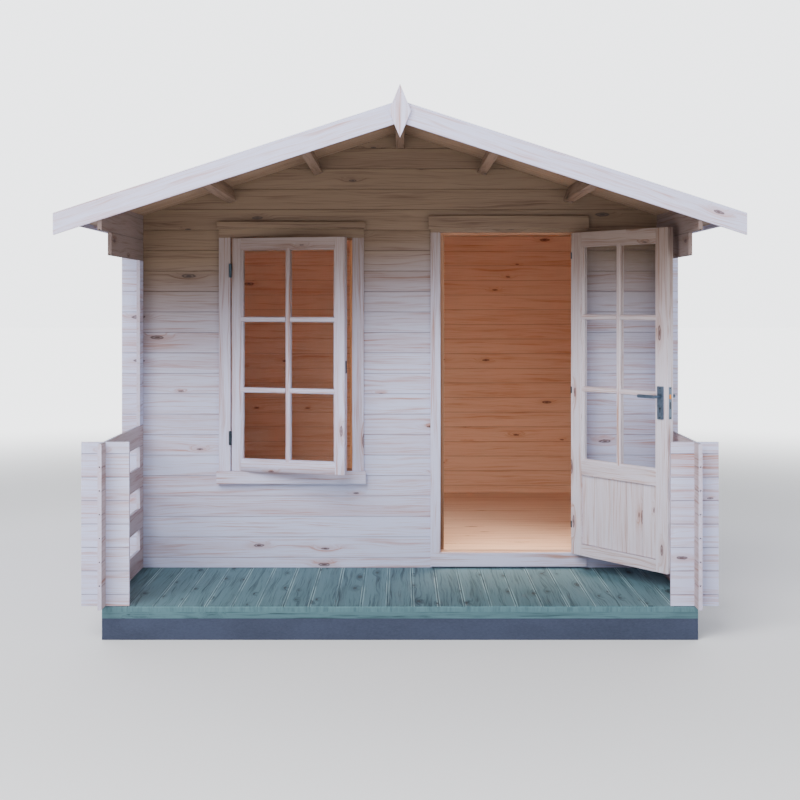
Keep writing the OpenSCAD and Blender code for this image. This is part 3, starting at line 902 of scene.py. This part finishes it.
class Finishes:
    """Every material of the cabin, made once."""

    def __init__(self) -> None:
        """Makes the materials."""
        self.logs()
        self.joinery()
        self.boards()
        self.base = Slab().material()
        self.steel = Metal("grey_steel", paint(108, 124, 142), paint(82, 96, 112)).material()
        self.hinge_steel = Metal("hinge_steel", paint(56, 66, 74), paint(40, 48, 55), 0.5).material()
        self.dark_steel = Metal("dark_steel", paint(70, 74, 80), paint(48, 50, 55), 0.45).material()
        self.brass = Metal("latch_brass", paint(214, 138, 46), paint(170, 92, 22), 0.3).material()
        self.glass = Pane().material()

    def logs(self) -> None:
        """Makes the finishes of the log walls; courses across start half a log up."""
        cross = Timber("cross_logs", Axis.ACROSS, Axis.UP, start=PLAN.floor_z + PLAN.log_h / 2)
        side = Timber("side_logs", Axis.DEPTH, Axis.UP)
        corner = PLAN.half_w + ROOF_SHADE_BAND.corner
        # The logs under the roof take painted shade: all of it on the cross logs up to the corners, less on
        # the side walls, nearly all on the eaves logs.
        self.cross_logs = replace(cross, shelter=1.0, reach=corner, knots=0.2, seam=0.32).material()
        self.side_logs = replace(side, seed=31, shelter=0.3).material()
        self.eaves_logs = replace(side, name="eaves_logs", seed=37, shelter=0.9).material()
        # The rails take painted shade on their inner faces.
        self.rails = replace(side, name="rail_logs", seed=53, inward_shade=INWARD_SHADE_TONE).material()
        self.returns = replace(cross, name="return_logs", seed=67).material()

    def joinery(self) -> None:
        """Makes the finishes of the planed frames."""
        upright = Timber("upright_timber", Axis.UP, Axis.ACROSS, pitch=0.2, start=0.05, tone=JOINERY,
                         knots=0.2, seam=0.0, figure=1.3)
        level = replace(upright, name="level_timber", run=Axis.ACROSS, across=Axis.UP)
        # Frames under the roof take painted shade; most of them also take the reveal's painted shade on
        # their inner faces.
        self.uprights = replace(upright, seed=83, inner=REVEAL_SHADE_TONE, shelter=0.9).material()
        self.window_posts = replace(upright, name="window_post_timber", seed=89, inner=AMBER,
                                    shelter=0.9).material()
        self.levels = replace(level, seed=97, inner=REVEAL_SHADE_TONE, shelter=1.0).material()
        self.threshold = replace(level, name="threshold_timber", seed=101, inner=FLOOR).material()

    def boards(self) -> None:
        """Makes the finishes of roof, floor and deck, and of the timbers that carry them."""
        self.slopes = Timber("slope_timber", Axis.ACROSS, Axis.UP, pitch=0.6, start=0.1, seed=113,
                             inner=None, knots=0.12, seam=0.0, slope=True).material()
        # Roof boards: weathered on top, and beneath a pine tone partly darkened with painted shade.
        self.roof = Timber("roof_boards", Axis.ACROSS, Axis.DEPTH, pitch=PLAN.roof_l / PLAN.roof_boards,
                           start=PLAN.y_roof, tone=SOFFIT_PINE_AND_SHADE, upper=BLEACHED, seed=131, slope=True).material()
        # Purlins in a pine tone partly darkened with painted shade.
        self.purlins = Timber("purlin_timber", Axis.DEPTH, Axis.ACROSS, pitch=0.2, start=-1.9,
                              tone=RAFTER_PINE_AND_SHADE, seed=149).material()
        self.eaves = Timber("eaves_timber", Axis.DEPTH, Axis.ACROSS, pitch=1.0, start=-2.0, seed=151,
                            inner=None, seam=0.0).material()
        self.floor = Timber("floor_boards", Axis.ACROSS, Axis.DEPTH, pitch=0.1, start=PLAN.y_front,
                            inner=FLOOR, seed=163).material()
        # Deck boards with a painted highlight on their top arrises.
        self.deck = Timber("deck_boards", Axis.DEPTH, Axis.ACROSS, pitch=2 * PLAN.half_w / PLAN.deck_boards,
                           start=-PLAN.half_w, tone=TREATED, inner=None, knots=0.55, seed=179,
                           seam=0.0, rub=0.6, figure=1.25, streaks=0.5).material()
        self.bearers = Timber("bearer_timber", Axis.ACROSS, Axis.DEPTH, pitch=0.5, start=-3, tone=TREATED,
                              inner=None, seed=191).material()


@dataclass
class Shell:
    """The base, walls and roof as they come from the frame, with their finishes."""

    finishes: Finishes

    def dress(self) -> None:
        """Gives every solid that stays its finish."""
        f = self.finishes
        table = {
            "base": f.base, "floor_bearers": f.bearers, "deck_bearers": f.bearers,
            "front_wall_logs": f.cross_logs, "front_gable_logs": f.cross_logs,
            "rear_wall_logs": f.cross_logs, "rear_gable_logs": f.cross_logs,
            "left_wall_logs": f.side_logs, "right_wall_logs": f.side_logs,
            "left_rail_logs": f.rails, "right_rail_logs": f.rails,
            "left_eaves_logs": f.eaves_logs, "right_eaves_logs": f.eaves_logs,
            "left_return_logs": f.returns, "right_return_logs": f.returns,
            "ridge_purlin": f.purlins, "left_purlins": f.purlins, "right_purlins": f.purlins,
            "front_bargeboards": f.slopes, "rear_bargeboards": f.slopes, "gable_finials": f.uprights,
            "eaves_fascias": f.eaves, "door_jambs": f.uprights, "window_jambs": f.window_posts,
            "door_head": f.levels, "door_threshold": f.threshold, "head_boards": f.levels,
            "window_head": f.levels, "window_sill": f.levels, "window_sill_board": f.levels,
            "window_hinges": f.hinge_steel, "door_hinge_pins": f.hinge_steel,
            "door_hinge_knuckles": f.hinge_steel, "door_lock_plate": f.steel,
            "door_handle_plates": f.steel, "door_levers": f.steel, "door_spindle": f.steel,
            "window_glass": f.glass, "door_glass": f.glass,
        }
        for node, finish in table.items():
            coat(node, finish)


@dataclass
class Boarding:
    """Floor, deck and roof boards."""

    finishes: Finishes
    deck_gap: float = 0.0007
    deck_arris: float = 0.002
    deck_nose: float = 0.010
    nose_steps: int = 4
    floor_gap: float = 0.0008
    floor_arris: float = 0.0015
    roof_gap: float = 0.0006
    roof_arris: float = 0.001
    roof_bevel: float = 0.003
    ridge_gap: float = 0.00015

    def deck(self) -> None:
        """Lays the veranda's boards, with rounded front ends."""
        low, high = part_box("veranda_deck")
        work = Carpentry()
        thick = high.z - low.z
        pitch = (high.x - low.x) / PLAN.deck_boards
        outline = board_outline(pitch - self.deck_gap, thick, self.deck_arris)
        for i in range(PLAN.deck_boards):
            x0 = low.x + i * pitch + self.deck_gap / 2
            rings = []
            for step in range(self.nose_steps + 1):
                turn = math.pi / 2 * step / self.nose_steps
                drop = self.deck_nose * (1 - math.sin(turn))
                y = low.y + self.deck_nose * (1 - math.cos(turn))
                rings.append([Vector((x0 + a, y, low.z + b - (drop if b > thick / 2 else 0)))
                              for a, b in outline])
            rings.append([Vector((x0 + a, high.y, low.z + b)) for a, b in outline])
            work.loft(rings)
        work.piece("deck_planks", "cabin", self.finishes.deck, "treated_timber", "veranda_deck")

    def floor(self) -> None:
        """Lays the cabin's floor boards."""
        low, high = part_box("cabin_floor")
        work = Carpentry()
        pitch = (high.y - low.y) / PLAN.floor_boards
        outline = board_outline(pitch - self.floor_gap, high.z - low.z, self.floor_arris)
        for i in range(PLAN.floor_boards):
            y0 = low.y + i * pitch + self.floor_gap / 2
            work.bar(outline, high.x - low.x, lambda a, b, t: Vector((low.x + t, y0 + a, low.z + b)))
        work.piece("floor_planks", "cabin", self.finishes.floor, "floor_timber", "cabin_floor")

    def roof(self) -> None:
        """Lays the roof boards from the ridge to the eaves, with open joints below."""
        pitch = PLAN.roof_l / PLAN.roof_boards
        outline = board_outline(pitch - self.roof_gap, PLAN.roof_v, self.roof_arris, self.roof_bevel)
        for side, name in ((-1, "left_roof"), (1, "right_roof")):
            work = Carpentry()
            for i in range(PLAN.roof_boards):
                y0 = PLAN.y_roof + i * pitch + self.roof_gap / 2

                def on_slope(a: float, b: float, t: float) -> Vector:
                    """A point of the board at a distance from the ridge."""
                    x = self.ridge_gap + t
                    return Vector((side * x, y0 + a, PLAN.roof_z(x) + b))
                work.bar(outline, PLAN.roof_half - self.ridge_gap, on_slope)
            work.piece(name + "_planks", "cabin", self.finishes.roof, "roof_timber", name)

    def build(self) -> None:
        """Lays all boards."""
        self.deck()
        self.floor()
        self.roof()


@dataclass
class Leaf:
    """A framed leaf on its hinge line: the door or the window sash."""

    finishes: Finishes
    name: str
    body: str
    hub: Vector
    turn: float
    hand: int
    wide: float
    stile: float
    glass_foot: float
    glass_top: float
    tone: Tone
    edge: float = 0.005
    face: float = 0.008
    thick: float = 0.040
    pane: float = 0.005
    bar: float = 0.028
    bar_lip: float = 0.005
    bar_slope: float = 0.006
    bar_inset: float = 0.003
    bead: float = 0.012
    rows: int = 3
    hinge_h: float = 0.074
    cap: tuple[Point2, ...] = ((0.0078, -0.0005), (0.0074, 0.0015), (0.005, 0.0032), (0.0015, 0.0038))

    @property
    def free_edge(self) -> float:
        """The leaf's far edge, from its hinge line."""
        return self.edge + self.wide

    def at(self, x: float, y: float, z: float) -> Vector:
        """A point of the leaf, from its hinge line, its outer side and its foot.

        Args:
            x: The distance from the hinge line.
            y: The distance from the outer side.
            z: The height over the foot.
        Returns:
            The point in the cabin's frame.
        """
        c, s = math.cos(self.turn), math.sin(self.turn)
        px, py = self.hand * x, self.face + y
        return Vector((self.hub.x + px * c - py * s, self.hub.y + px * s + py * c, self.hub.z + z))

    def turned_timber(self, name: str, run: Axis, across: Axis, **settings: Any) -> Timber:
        """A timber whose grain follows the turned leaf.

        Args:
            name: The finish's name.
            run: The direction of the grain.
            across: The direction in which one board follows the next.
            settings: The timber's other fields.
        Returns:
            The finish.
        """
        return Timber(name, run, across, inner=None, turn=self.turn, hub=(self.hub.x, self.hub.y),
                      tone=self.tone, **settings)

    def timber(self) -> bpy.types.Material:
        """The leaf's finish, upright on its stiles and level on its rails."""
        stiles = (self.edge + self.stile, self.free_edge - self.stile)
        # The leaf takes painted shade high up, as under the roof.
        return self.turned_timber(self.name + "_timber", Axis.ACROSS, Axis.UP, pitch=0.23, start=-0.1,
                                  knots=0.3, seed=211 + self.wide, upright=stiles, shelter=0.9, seam=0.0,
                                  figure=1.4).material()

    def post(self, x: float, side: int, way: int = 1) -> Place:
        """Places an upright bar on one side of the glass.

        Args:
            x: Its distance from the hinge line.
            side: -1 for the outer side of the glass, 1 for the inner.
            way: The direction in which its section runs.
        Returns:
            The place of a section point at a height over the glass's foot.
        """
        base = self.thick / 2 + side * self.pane / 2
        return lambda a, b, t: self.at(x + way * a, base + side * b, self.glass_foot + t)

    def level(self, x: float, z: float, side: int, way: int = 1) -> Place:
        """Places a level bar on one side of the glass.

        Args:
            x: The distance of its start from the hinge line.
            z: Its height over the leaf's foot.
            side: -1 for the outer side of the glass, 1 for the inner.
            way: The direction in which its section runs.
        Returns:
            The place of a section point at a distance from the bar's start.
        """
        base = self.thick / 2 + side * self.pane / 2
        return lambda a, b, t: self.at(x + t, base + side * b, z + way * a)

    def glazing(self, finish: bpy.types.Material) -> None:
        """Puts bars and beads on both sides of the glass.

        Args:
            finish: The leaf's timber, level between its stiles.
        """
        work, posts = Carpentry(), Carpentry()
        x0, x1 = self.edge + self.stile, self.free_edge - self.stile
        z0, z1 = self.glass_foot, self.glass_top
        middle = (x0 + x1) / 2
        reach = self.thick / 2 - self.pane / 2 - self.bar_inset
        half = self.bar / 2
        lip, slope = half - self.bar_lip, reach - self.bar_slope
        section = [(-half, 0), (half, 0), (half, slope), (lip, reach), (-lip, reach), (-half, slope)]
        bead = [(self.bead * a, self.bead * b) for a, b in BEAD_SHARES]
        levels = [z0 + (z1 - z0) * i / self.rows for i in range(1, self.rows)]
        for side in (-1, 1):
            posts.bar(section, z1 - z0, self.post(middle, side))
            for z in levels:
                for start, end in ((x0, middle - half), (middle + half, x1)):
                    work.bar(section, end - start, self.level(start, z, side))
            for x, way in ((x0, 1), (x1, -1)):
                posts.bar(bead, z1 - z0, self.post(x, side, way))
            for z, way in ((z0, 1), (z1, -1)):
                work.bar(bead, x1 - x0, self.level(x0, z, side, way))
        # The glazing posts take painted shade high up, as under the roof.
        upright = self.turned_timber(self.name + "_post_timber", Axis.UP, Axis.ACROSS, pitch=0.4, start=-1.0,
                                     knots=0.1, seed=223 + self.wide, shelter=0.9, seam=0.0, figure=1.2)
        work.piece(self.name + "_glazing_bars", self.body, finish, "timber")
        posts.piece(self.name + "_glazing_posts", self.body, upright.material(), "timber")

    def caps(self, places: Sequence[float]) -> None:
        """Rounds the ends of the hinge barrels.

        Args:
            places: The feet of the hinges above the leaf's foot.
        """
        work = Carpentry()
        pin = self.at(0, -self.face, 0)
        rings = [(disc(radius), height) for radius, height in self.cap]
        for z in places:
            work.rise(rings, lambda a, b, t: pin + Vector((a, b, z + self.hinge_h + t)))
        work.piece(self.name + "_hinge_caps", self.body, self.finishes.hinge_steel, "metal", smooth=True)


@dataclass(frozen=True)
class Lock:
    """Sizes of the lock's small parts; heights are from the leaf's foot."""

    latch_z: float = 0.905
    latch_h: float = 0.022
    latch_w: float = 0.013
    latch_tip: float = 0.011
    bolt_z: float = 0.86
    bolt_h: float = 0.036
    bolt_w: float = 0.008
    bolt_proud: float = 0.0002
    edge_screws_z: Point2 = (0.796, 0.948)
    edge_screw: float = 0.004
    edge_sunk: float = 0.001
    edge_rim: float = 0.0001
    edge_proud: float = 0.0003
    edge_sides: int = 12
    backset: float = 0.047
    plate_t: float = 0.008
    plate_screws_z: Point2 = (0.797, 0.947)
    plate_screw: float = 0.0035
    barrel_z: float = 0.843
    barrel: float = 0.006
    plate_sunk: float = 0.0005
    plate_rim: float = 0.0005
    plate_proud: float = 0.0011
    plate_sides: int = 16
    head_share: float = 0.7
    slot_z: float = 0.833
    slot_h: float = 0.020
    slot_foot: float = 0.005
    slot_top: float = 0.0036
    slot_proud: float = 0.0006

    def latch(self) -> list[Ring]:
        """The latch, drawn back almost flush, with bevelled sides.

        Returns:
            Its outlines and their heights.
        """
        full = taper(self.latch_w, self.latch_w, self.latch_h)
        tip = taper(self.latch_tip, self.latch_tip, self.latch_h)
        return [(full, -self.edge_sunk), (full, self.edge_rim), (tip, self.edge_proud)]

    def bolt(self) -> list[Ring]:
        """The bolt, drawn back."""
        full = taper(self.bolt_w, self.bolt_w, self.bolt_h)
        return [(full, -self.edge_sunk), (full, self.bolt_proud)]

    def edge_screw_head(self) -> list[Ring]:
        """A screw head on the leaf's edge.

        Returns:
            Its outlines and their heights.
        """
        full = disc(self.edge_screw, self.edge_sides)
        tip = disc(self.edge_screw / 2, self.edge_sides)
        return [(full, -self.edge_sunk), (full, self.edge_rim), (tip, self.edge_proud)]

    def plate_head(self, radius: float) -> list[Ring]:
        """A round head on a handle plate.

        Args:
            radius: The head's radius.
        Returns:
            Its outlines and their heights.
        """
        full = disc(radius, self.plate_sides)
        tip = disc(self.head_share * radius, self.plate_sides)
        return [(full, -self.plate_sunk), (full, self.plate_rim), (tip, self.plate_proud)]

    def slot(self) -> list[Ring]:
        """The keyhole's slot below the barrel."""
        full = taper(self.slot_foot, self.slot_top, self.slot_h)
        return [(full, -self.plate_sunk), (full, self.slot_proud)]


@dataclass
class Door:
    """The half-glazed door: its leaf, lower boards, hinges and lock."""

    finishes: Finishes
    foot: float = 0.090
    wide: float = 0.748
    stile: float = 0.085
    glass_foot: float = 0.519
    glass_top: float = 1.702
    boards: int = 5
    board_t: float = 0.016
    board_gap: float = 0.0004
    board_arris: float = 0.002
    board_bevel: float = 0.004
    panel_play: float = 0.0003
    panel_groove: float = 0.008
    panel_depth: float = 0.012
    panel_foot: float = 0.0613
    panel_top: float = 0.4417
    hinges: tuple[float, ...] = (0.107, 0.849, 1.591)
    flap_out: float = 0.003
    flap_deep: float = 0.012
    flap_lap: float = 0.013
    flap_proud: float = 0.0024
    flap_round: float = 0.0015
    flap_bevel: float = 0.001
    flap_sunk: float = 0.0005
    fittings: Lock = Lock()

    def leaf(self) -> Leaf:
        """The door's leaf as the frame stores it, standing open.

        Returns:
            The leaf.
        """
        joint = next(j for j in frame["joints"] if j["name"] == "door_hinge")
        hub = Vector((joint["pos_m"][0], joint["pos_m"][1], PLAN.floor_z + self.foot))
        turn = -math.radians(joint["range_deg"][0])
        return Leaf(self.finishes, "door", "door", hub, turn, -1, self.wide, self.stile, self.glass_foot,
                    self.glass_top, PANELLED)

    def panel(self, leaf: Leaf) -> None:
        """Fits the upright boards of the lower panel.

        Args:
            leaf: The door's leaf.
        """
        work = Carpentry()
        x0 = leaf.stile + leaf.edge - self.panel_groove
        x1 = leaf.free_edge - leaf.stile + self.panel_groove
        pitch = (x1 - x0) / self.boards
        outline = board_outline(pitch - self.board_gap, self.board_t, self.board_arris, self.board_arris)
        for i in range(self.boards):
            x = x0 + self.panel_play + i * pitch
            work.bar(outline, self.panel_top - self.panel_foot,
                     lambda a, b, t: leaf.at(x + a, self.panel_depth + b, self.panel_foot + t),
                     self.board_bevel)
        boards = leaf.turned_timber("panel_boards", Axis.UP, Axis.ACROSS, pitch=pitch, start=-x0, knots=0.4,
                                    seed=239, seam=0.16)
        work.piece("door_panel_boards", "door", boards.material(), "timber", "door_panel")

    def hinge_returns(self, leaf: Leaf) -> None:
        """Turns the ends of the hinge flaps over the leaf's inner corner.

        Args:
            leaf: The door's leaf.
        """
        work = Carpentry()
        out, lap, edge = self.flap_out, self.flap_lap, leaf.edge
        root, sunk = leaf.thick - self.flap_deep, leaf.thick - self.flap_sunk
        shoulder, top = leaf.thick + self.flap_proud / 2, leaf.thick + self.flap_proud
        outline = [(out, root), (out, shoulder), (out + self.flap_round, top), (lap - self.flap_bevel, top),
                   (lap, shoulder), (lap, sunk), (edge, sunk), (edge, root)]
        half = leaf.hinge_h / 2
        for z in self.hinges:
            work.bar(outline, half, lambda a, b, t: leaf.at(a, b, z + half + t))
        work.piece("door_hinge_returns", "door", self.finishes.hinge_steel, "metal")

    def lock(self, leaf: Leaf) -> None:
        """Adds the latch and bolt on the edge, the keyholes and the screws.

        Args:
            leaf: The door's leaf.
        """
        lock = self.fittings

        def on_edge(z: float) -> Place:
            """Places outlines on the leaf's free edge at a height."""
            return lambda a, b, t: leaf.at(leaf.free_edge + t, leaf.thick / 2 + a, z + b)

        def on_plate(face: float, sign: int, z: float) -> Place:
            """Places outlines on a handle plate at a height."""
            x = leaf.free_edge - lock.backset
            return lambda a, b, t: leaf.at(x + a, face + sign * t, z + b)

        work = Carpentry()
        work.rise(lock.latch(), on_edge(lock.latch_z))
        work.piece("door_latch", "door", self.finishes.brass, "metal")
        work = Carpentry()
        work.rise(lock.bolt(), on_edge(lock.bolt_z))
        for z in lock.edge_screws_z:
            work.rise(lock.edge_screw_head(), on_edge(z))
        for face, sign in ((-lock.plate_t, -1), (leaf.thick + lock.plate_t, 1)):
            for z in lock.plate_screws_z:
                work.rise(lock.plate_head(lock.plate_screw), on_plate(face, sign, z))
            work.rise(lock.plate_head(lock.barrel), on_plate(face, sign, lock.barrel_z))
            work.rise(lock.slot(), on_plate(face, sign, lock.slot_z))
        work.piece("door_lock_fittings", "door", self.finishes.dark_steel, "metal", smooth=True)

    def build(self) -> None:
        """Builds the door's pieces."""
        leaf = self.leaf()
        finish = leaf.timber()
        coat("door_leaf", finish)
        self.panel(leaf)
        leaf.glazing(finish)
        leaf.caps(self.hinges)
        self.hinge_returns(leaf)
        self.lock(leaf)


@dataclass
class Window:
    """The casement window, fixed ajar."""

    finishes: Finishes
    hub_x: float = -0.943
    hub_y: float = -1.168
    foot: float = 0.542
    ajar: float = math.radians(-18)
    wide: float = 0.668
    stile: float = 0.055
    glass_foot: float = 0.058
    glass_top: float = 1.234
    hinges: tuple[float, ...] = (0.144, 1.074)
    catch_z: float = 0.584
    catch_y: float = 0.022
    catch_w: float = 0.016
    catch_h: float = 0.068
    catch_steps: tuple[Point2, ...] = ((1.0, -0.001), (1.0, 0.0022), (0.8, 0.0030))

    def build(self) -> None:
        """Builds the window's pieces."""
        hub = Vector((self.hub_x, self.hub_y, PLAN.floor_z + self.foot))
        leaf = Leaf(self.finishes, "window", "cabin", hub, self.ajar, 1, self.wide, self.stile,
                    self.glass_foot, self.glass_top, JOINERY)
        finish = leaf.timber()
        coat("window_sash", finish)
        leaf.glazing(finish)
        leaf.caps(self.hinges)
        self.catch(leaf)

    def catch(self, leaf: Leaf) -> None:
        """Adds the small catch on the sash's free edge.

        Args:
            leaf: The sash.
        """
        work = Carpentry()
        rings = [(taper(self.catch_w * share, self.catch_w * share, self.catch_h * share), height)
                 for share, height in self.catch_steps]
        work.rise(rings, lambda a, b, t: leaf.at(leaf.free_edge + t, self.catch_y + a, self.catch_z + b))
        work.piece("window_catch", "cabin", self.finishes.dark_steel, "metal")


@dataclass
class Edges:
    """Softens the arrises of the planed boards and of the handle."""

    timber_size: float = 0.0016
    metal_size: float = 0.0012
    join: float = 0.00005
    corner: float = math.radians(40)
    timber: tuple[str, ...] = (
        "front_bargeboards", "rear_bargeboards", "gable_finials", "eaves_fascias", "door_jambs", "door_head",
        "door_threshold", "head_boards", "window_jambs", "window_head", "window_sill", "window_sill_board",
        "window_sash", "door_leaf", "base", "ridge_purlin", "left_purlins", "right_purlins")
    metal: tuple[str, ...] = ("door_levers", "door_handle_plates")

    def build(self) -> None:
        """Joins each piece's corners and bevels its edges."""
        for names, width in ((self.timber, self.timber_size), (self.metal, self.metal_size)):
            for node in names:
                weld = frame["nodes"][node].modifiers.new("joined", "WELD")
                weld.merge_threshold = self.join
                bevel = frame["nodes"][node].modifiers.new("arris", "BEVEL")
                bevel.width = width
                bevel.segments = 2
                bevel.limit_method = "ANGLE"
                bevel.angle_limit = self.corner
                bevel.harden_normals = False


@dataclass(frozen=True)
class Lamp:
    """A soft square light that faces a point; spread is the angle of its beam in degrees."""

    name: str
    place: Point3
    aim: Point3
    size: float
    power: float
    colour: Colour
    spread: float = 180.0

    def hang(self) -> None:
        """Puts the light into the scene."""
        data = bpy.data.lights.new(self.name, "AREA")
        data.size = self.size
        data.energy = self.power
        data.color = self.colour
        data.spread = math.radians(self.spread)
        made = bpy.data.objects.new(self.name, data)
        made.location = self.place
        made.rotation_mode = "QUATERNION"
        made.rotation_quaternion = (Vector(self.aim) - Vector(self.place)).to_track_quat("-Z", "Y")
        bpy.context.scene.collection.objects.link(made)


FRONT: Point3 = (0, -1, 1.2)
LAMPS = (
    Lamp("key", (-4.0, -9.7, 7.9), FRONT, size=8.0, power=2100, colour=(0.97, 0.98, 1.0)),
    Lamp("fill", (7.0, -8.0, 3.2), FRONT, size=5.0, power=160, colour=(0.95, 0.97, 1.0)),
    Lamp("room", (0.1, 0.1, 0.95), (0.5, 1.9, 0.0), size=0.8, power=4.8, colour=(1.0, 0.95, 0.93),
         spread=115),
    Lamp("doorway", (0.6, -0.45, 1.9), (0.6, -0.6, PLAN.floor_z), size=0.5, power=13,
         colour=(1.0, 0.85, 0.72), spread=75),
)


@dataclass
class Studio:
    """The floor, the light and the camera, which stands square to the front."""

    distance: float = 8.0
    eye_h: float = 1.469
    lens: float = 64.6
    sensor: float = 36.0
    fall: float = -0.12
    floor_side: float = 60.0
    floor_back: float = 90.0
    pale: Colour = (0.86, 0.86, 0.87)
    hazy: Colour = (0.84, 0.84, 0.85)
    shine: Colour = (2.6, 2.65, 2.7)
    daylight: Colour = (0.95, 0.97, 1.0)
    glow: float = 3.2
    ambient: float = 0.2

    def floor(self) -> None:
        """Lays a plain pale floor that shines far from the cabin."""
        sheet = Sheet.named("studio_floor")
        x, y, _ = sheet.position()
        haze = sheet.noise(x * 0.4, y * 0.4, 0.0, 2.0)
        far = (x * x + y * y).step(14.0, 120.0)
        finish = sheet.surface({
            "Base Color": sheet.blend(haze, self.pale, self.hazy), "Roughness": 0.9,
            "Emission Strength": 1.0, "Emission Color": sheet.blend(far, (0.0, 0.0, 0.0), self.shine)})
        side, back = self.floor_side, self.floor_back
        corners = [(-side, -side, 0), (side, -side, 0), (side, back, 0), (-side, back, 0)]
        data = bpy.data.meshes.new("studio_floor")
        data.from_pydata(corners, [], [(0, 1, 2, 3)])
        data.materials.append(finish)
        made = bpy.data.objects.new("studio_floor", data)
        bpy.context.scene.collection.objects.link(made)

    def sky(self) -> None:
        """Lights the studio all round, with a brighter wall of light behind the cabin."""
        world = bpy.data.worlds.new("studio")
        sheet = Sheet(world)
        behind = sheet.split(sheet.node("ShaderNodeTexCoord", output="Generated"))[1]
        light = sheet.node("ShaderNodeBackground", None, {
            "Color": self.daylight, "Strength": behind.step(0.25, 0.8) * self.glow + self.ambient})
        sheet.tree.links.new(light.socket, sheet.out.inputs["Surface"])
        bpy.context.scene.world = world

    def camera(self) -> None:
        """Sets up the camera."""
        data = bpy.data.cameras.new("camera")
        data.lens = self.lens
        data.sensor_width = self.sensor
        data.shift_y = self.fall
        made = bpy.data.objects.new("camera", data)
        made.location = (0.0, PLAN.y_front - self.distance, PLAN.floor_z + self.eye_h)
        made.rotation_euler = (math.pi / 2, 0, 0)
        bpy.context.scene.collection.objects.link(made)
        bpy.context.scene.camera = made

    def build(self) -> None:
        """Sets up the studio."""
        self.floor()
        self.sky()
        for lamp in LAMPS:
            lamp.hang()
        self.camera()


def main() -> None:
    """Builds the scene, piece by piece."""
    logging.basicConfig(level=logging.INFO, format="%(name)s: %(message)s")
    finishes = Finishes()
    Shell(finishes).dress()
    Boarding(finishes).build()
    Door(finishes).build()
    Window(finishes).build()
    Edges().build()
    Studio().build()
    bpy.context.view_layer.update()


if __name__ == "__main__":
    main()
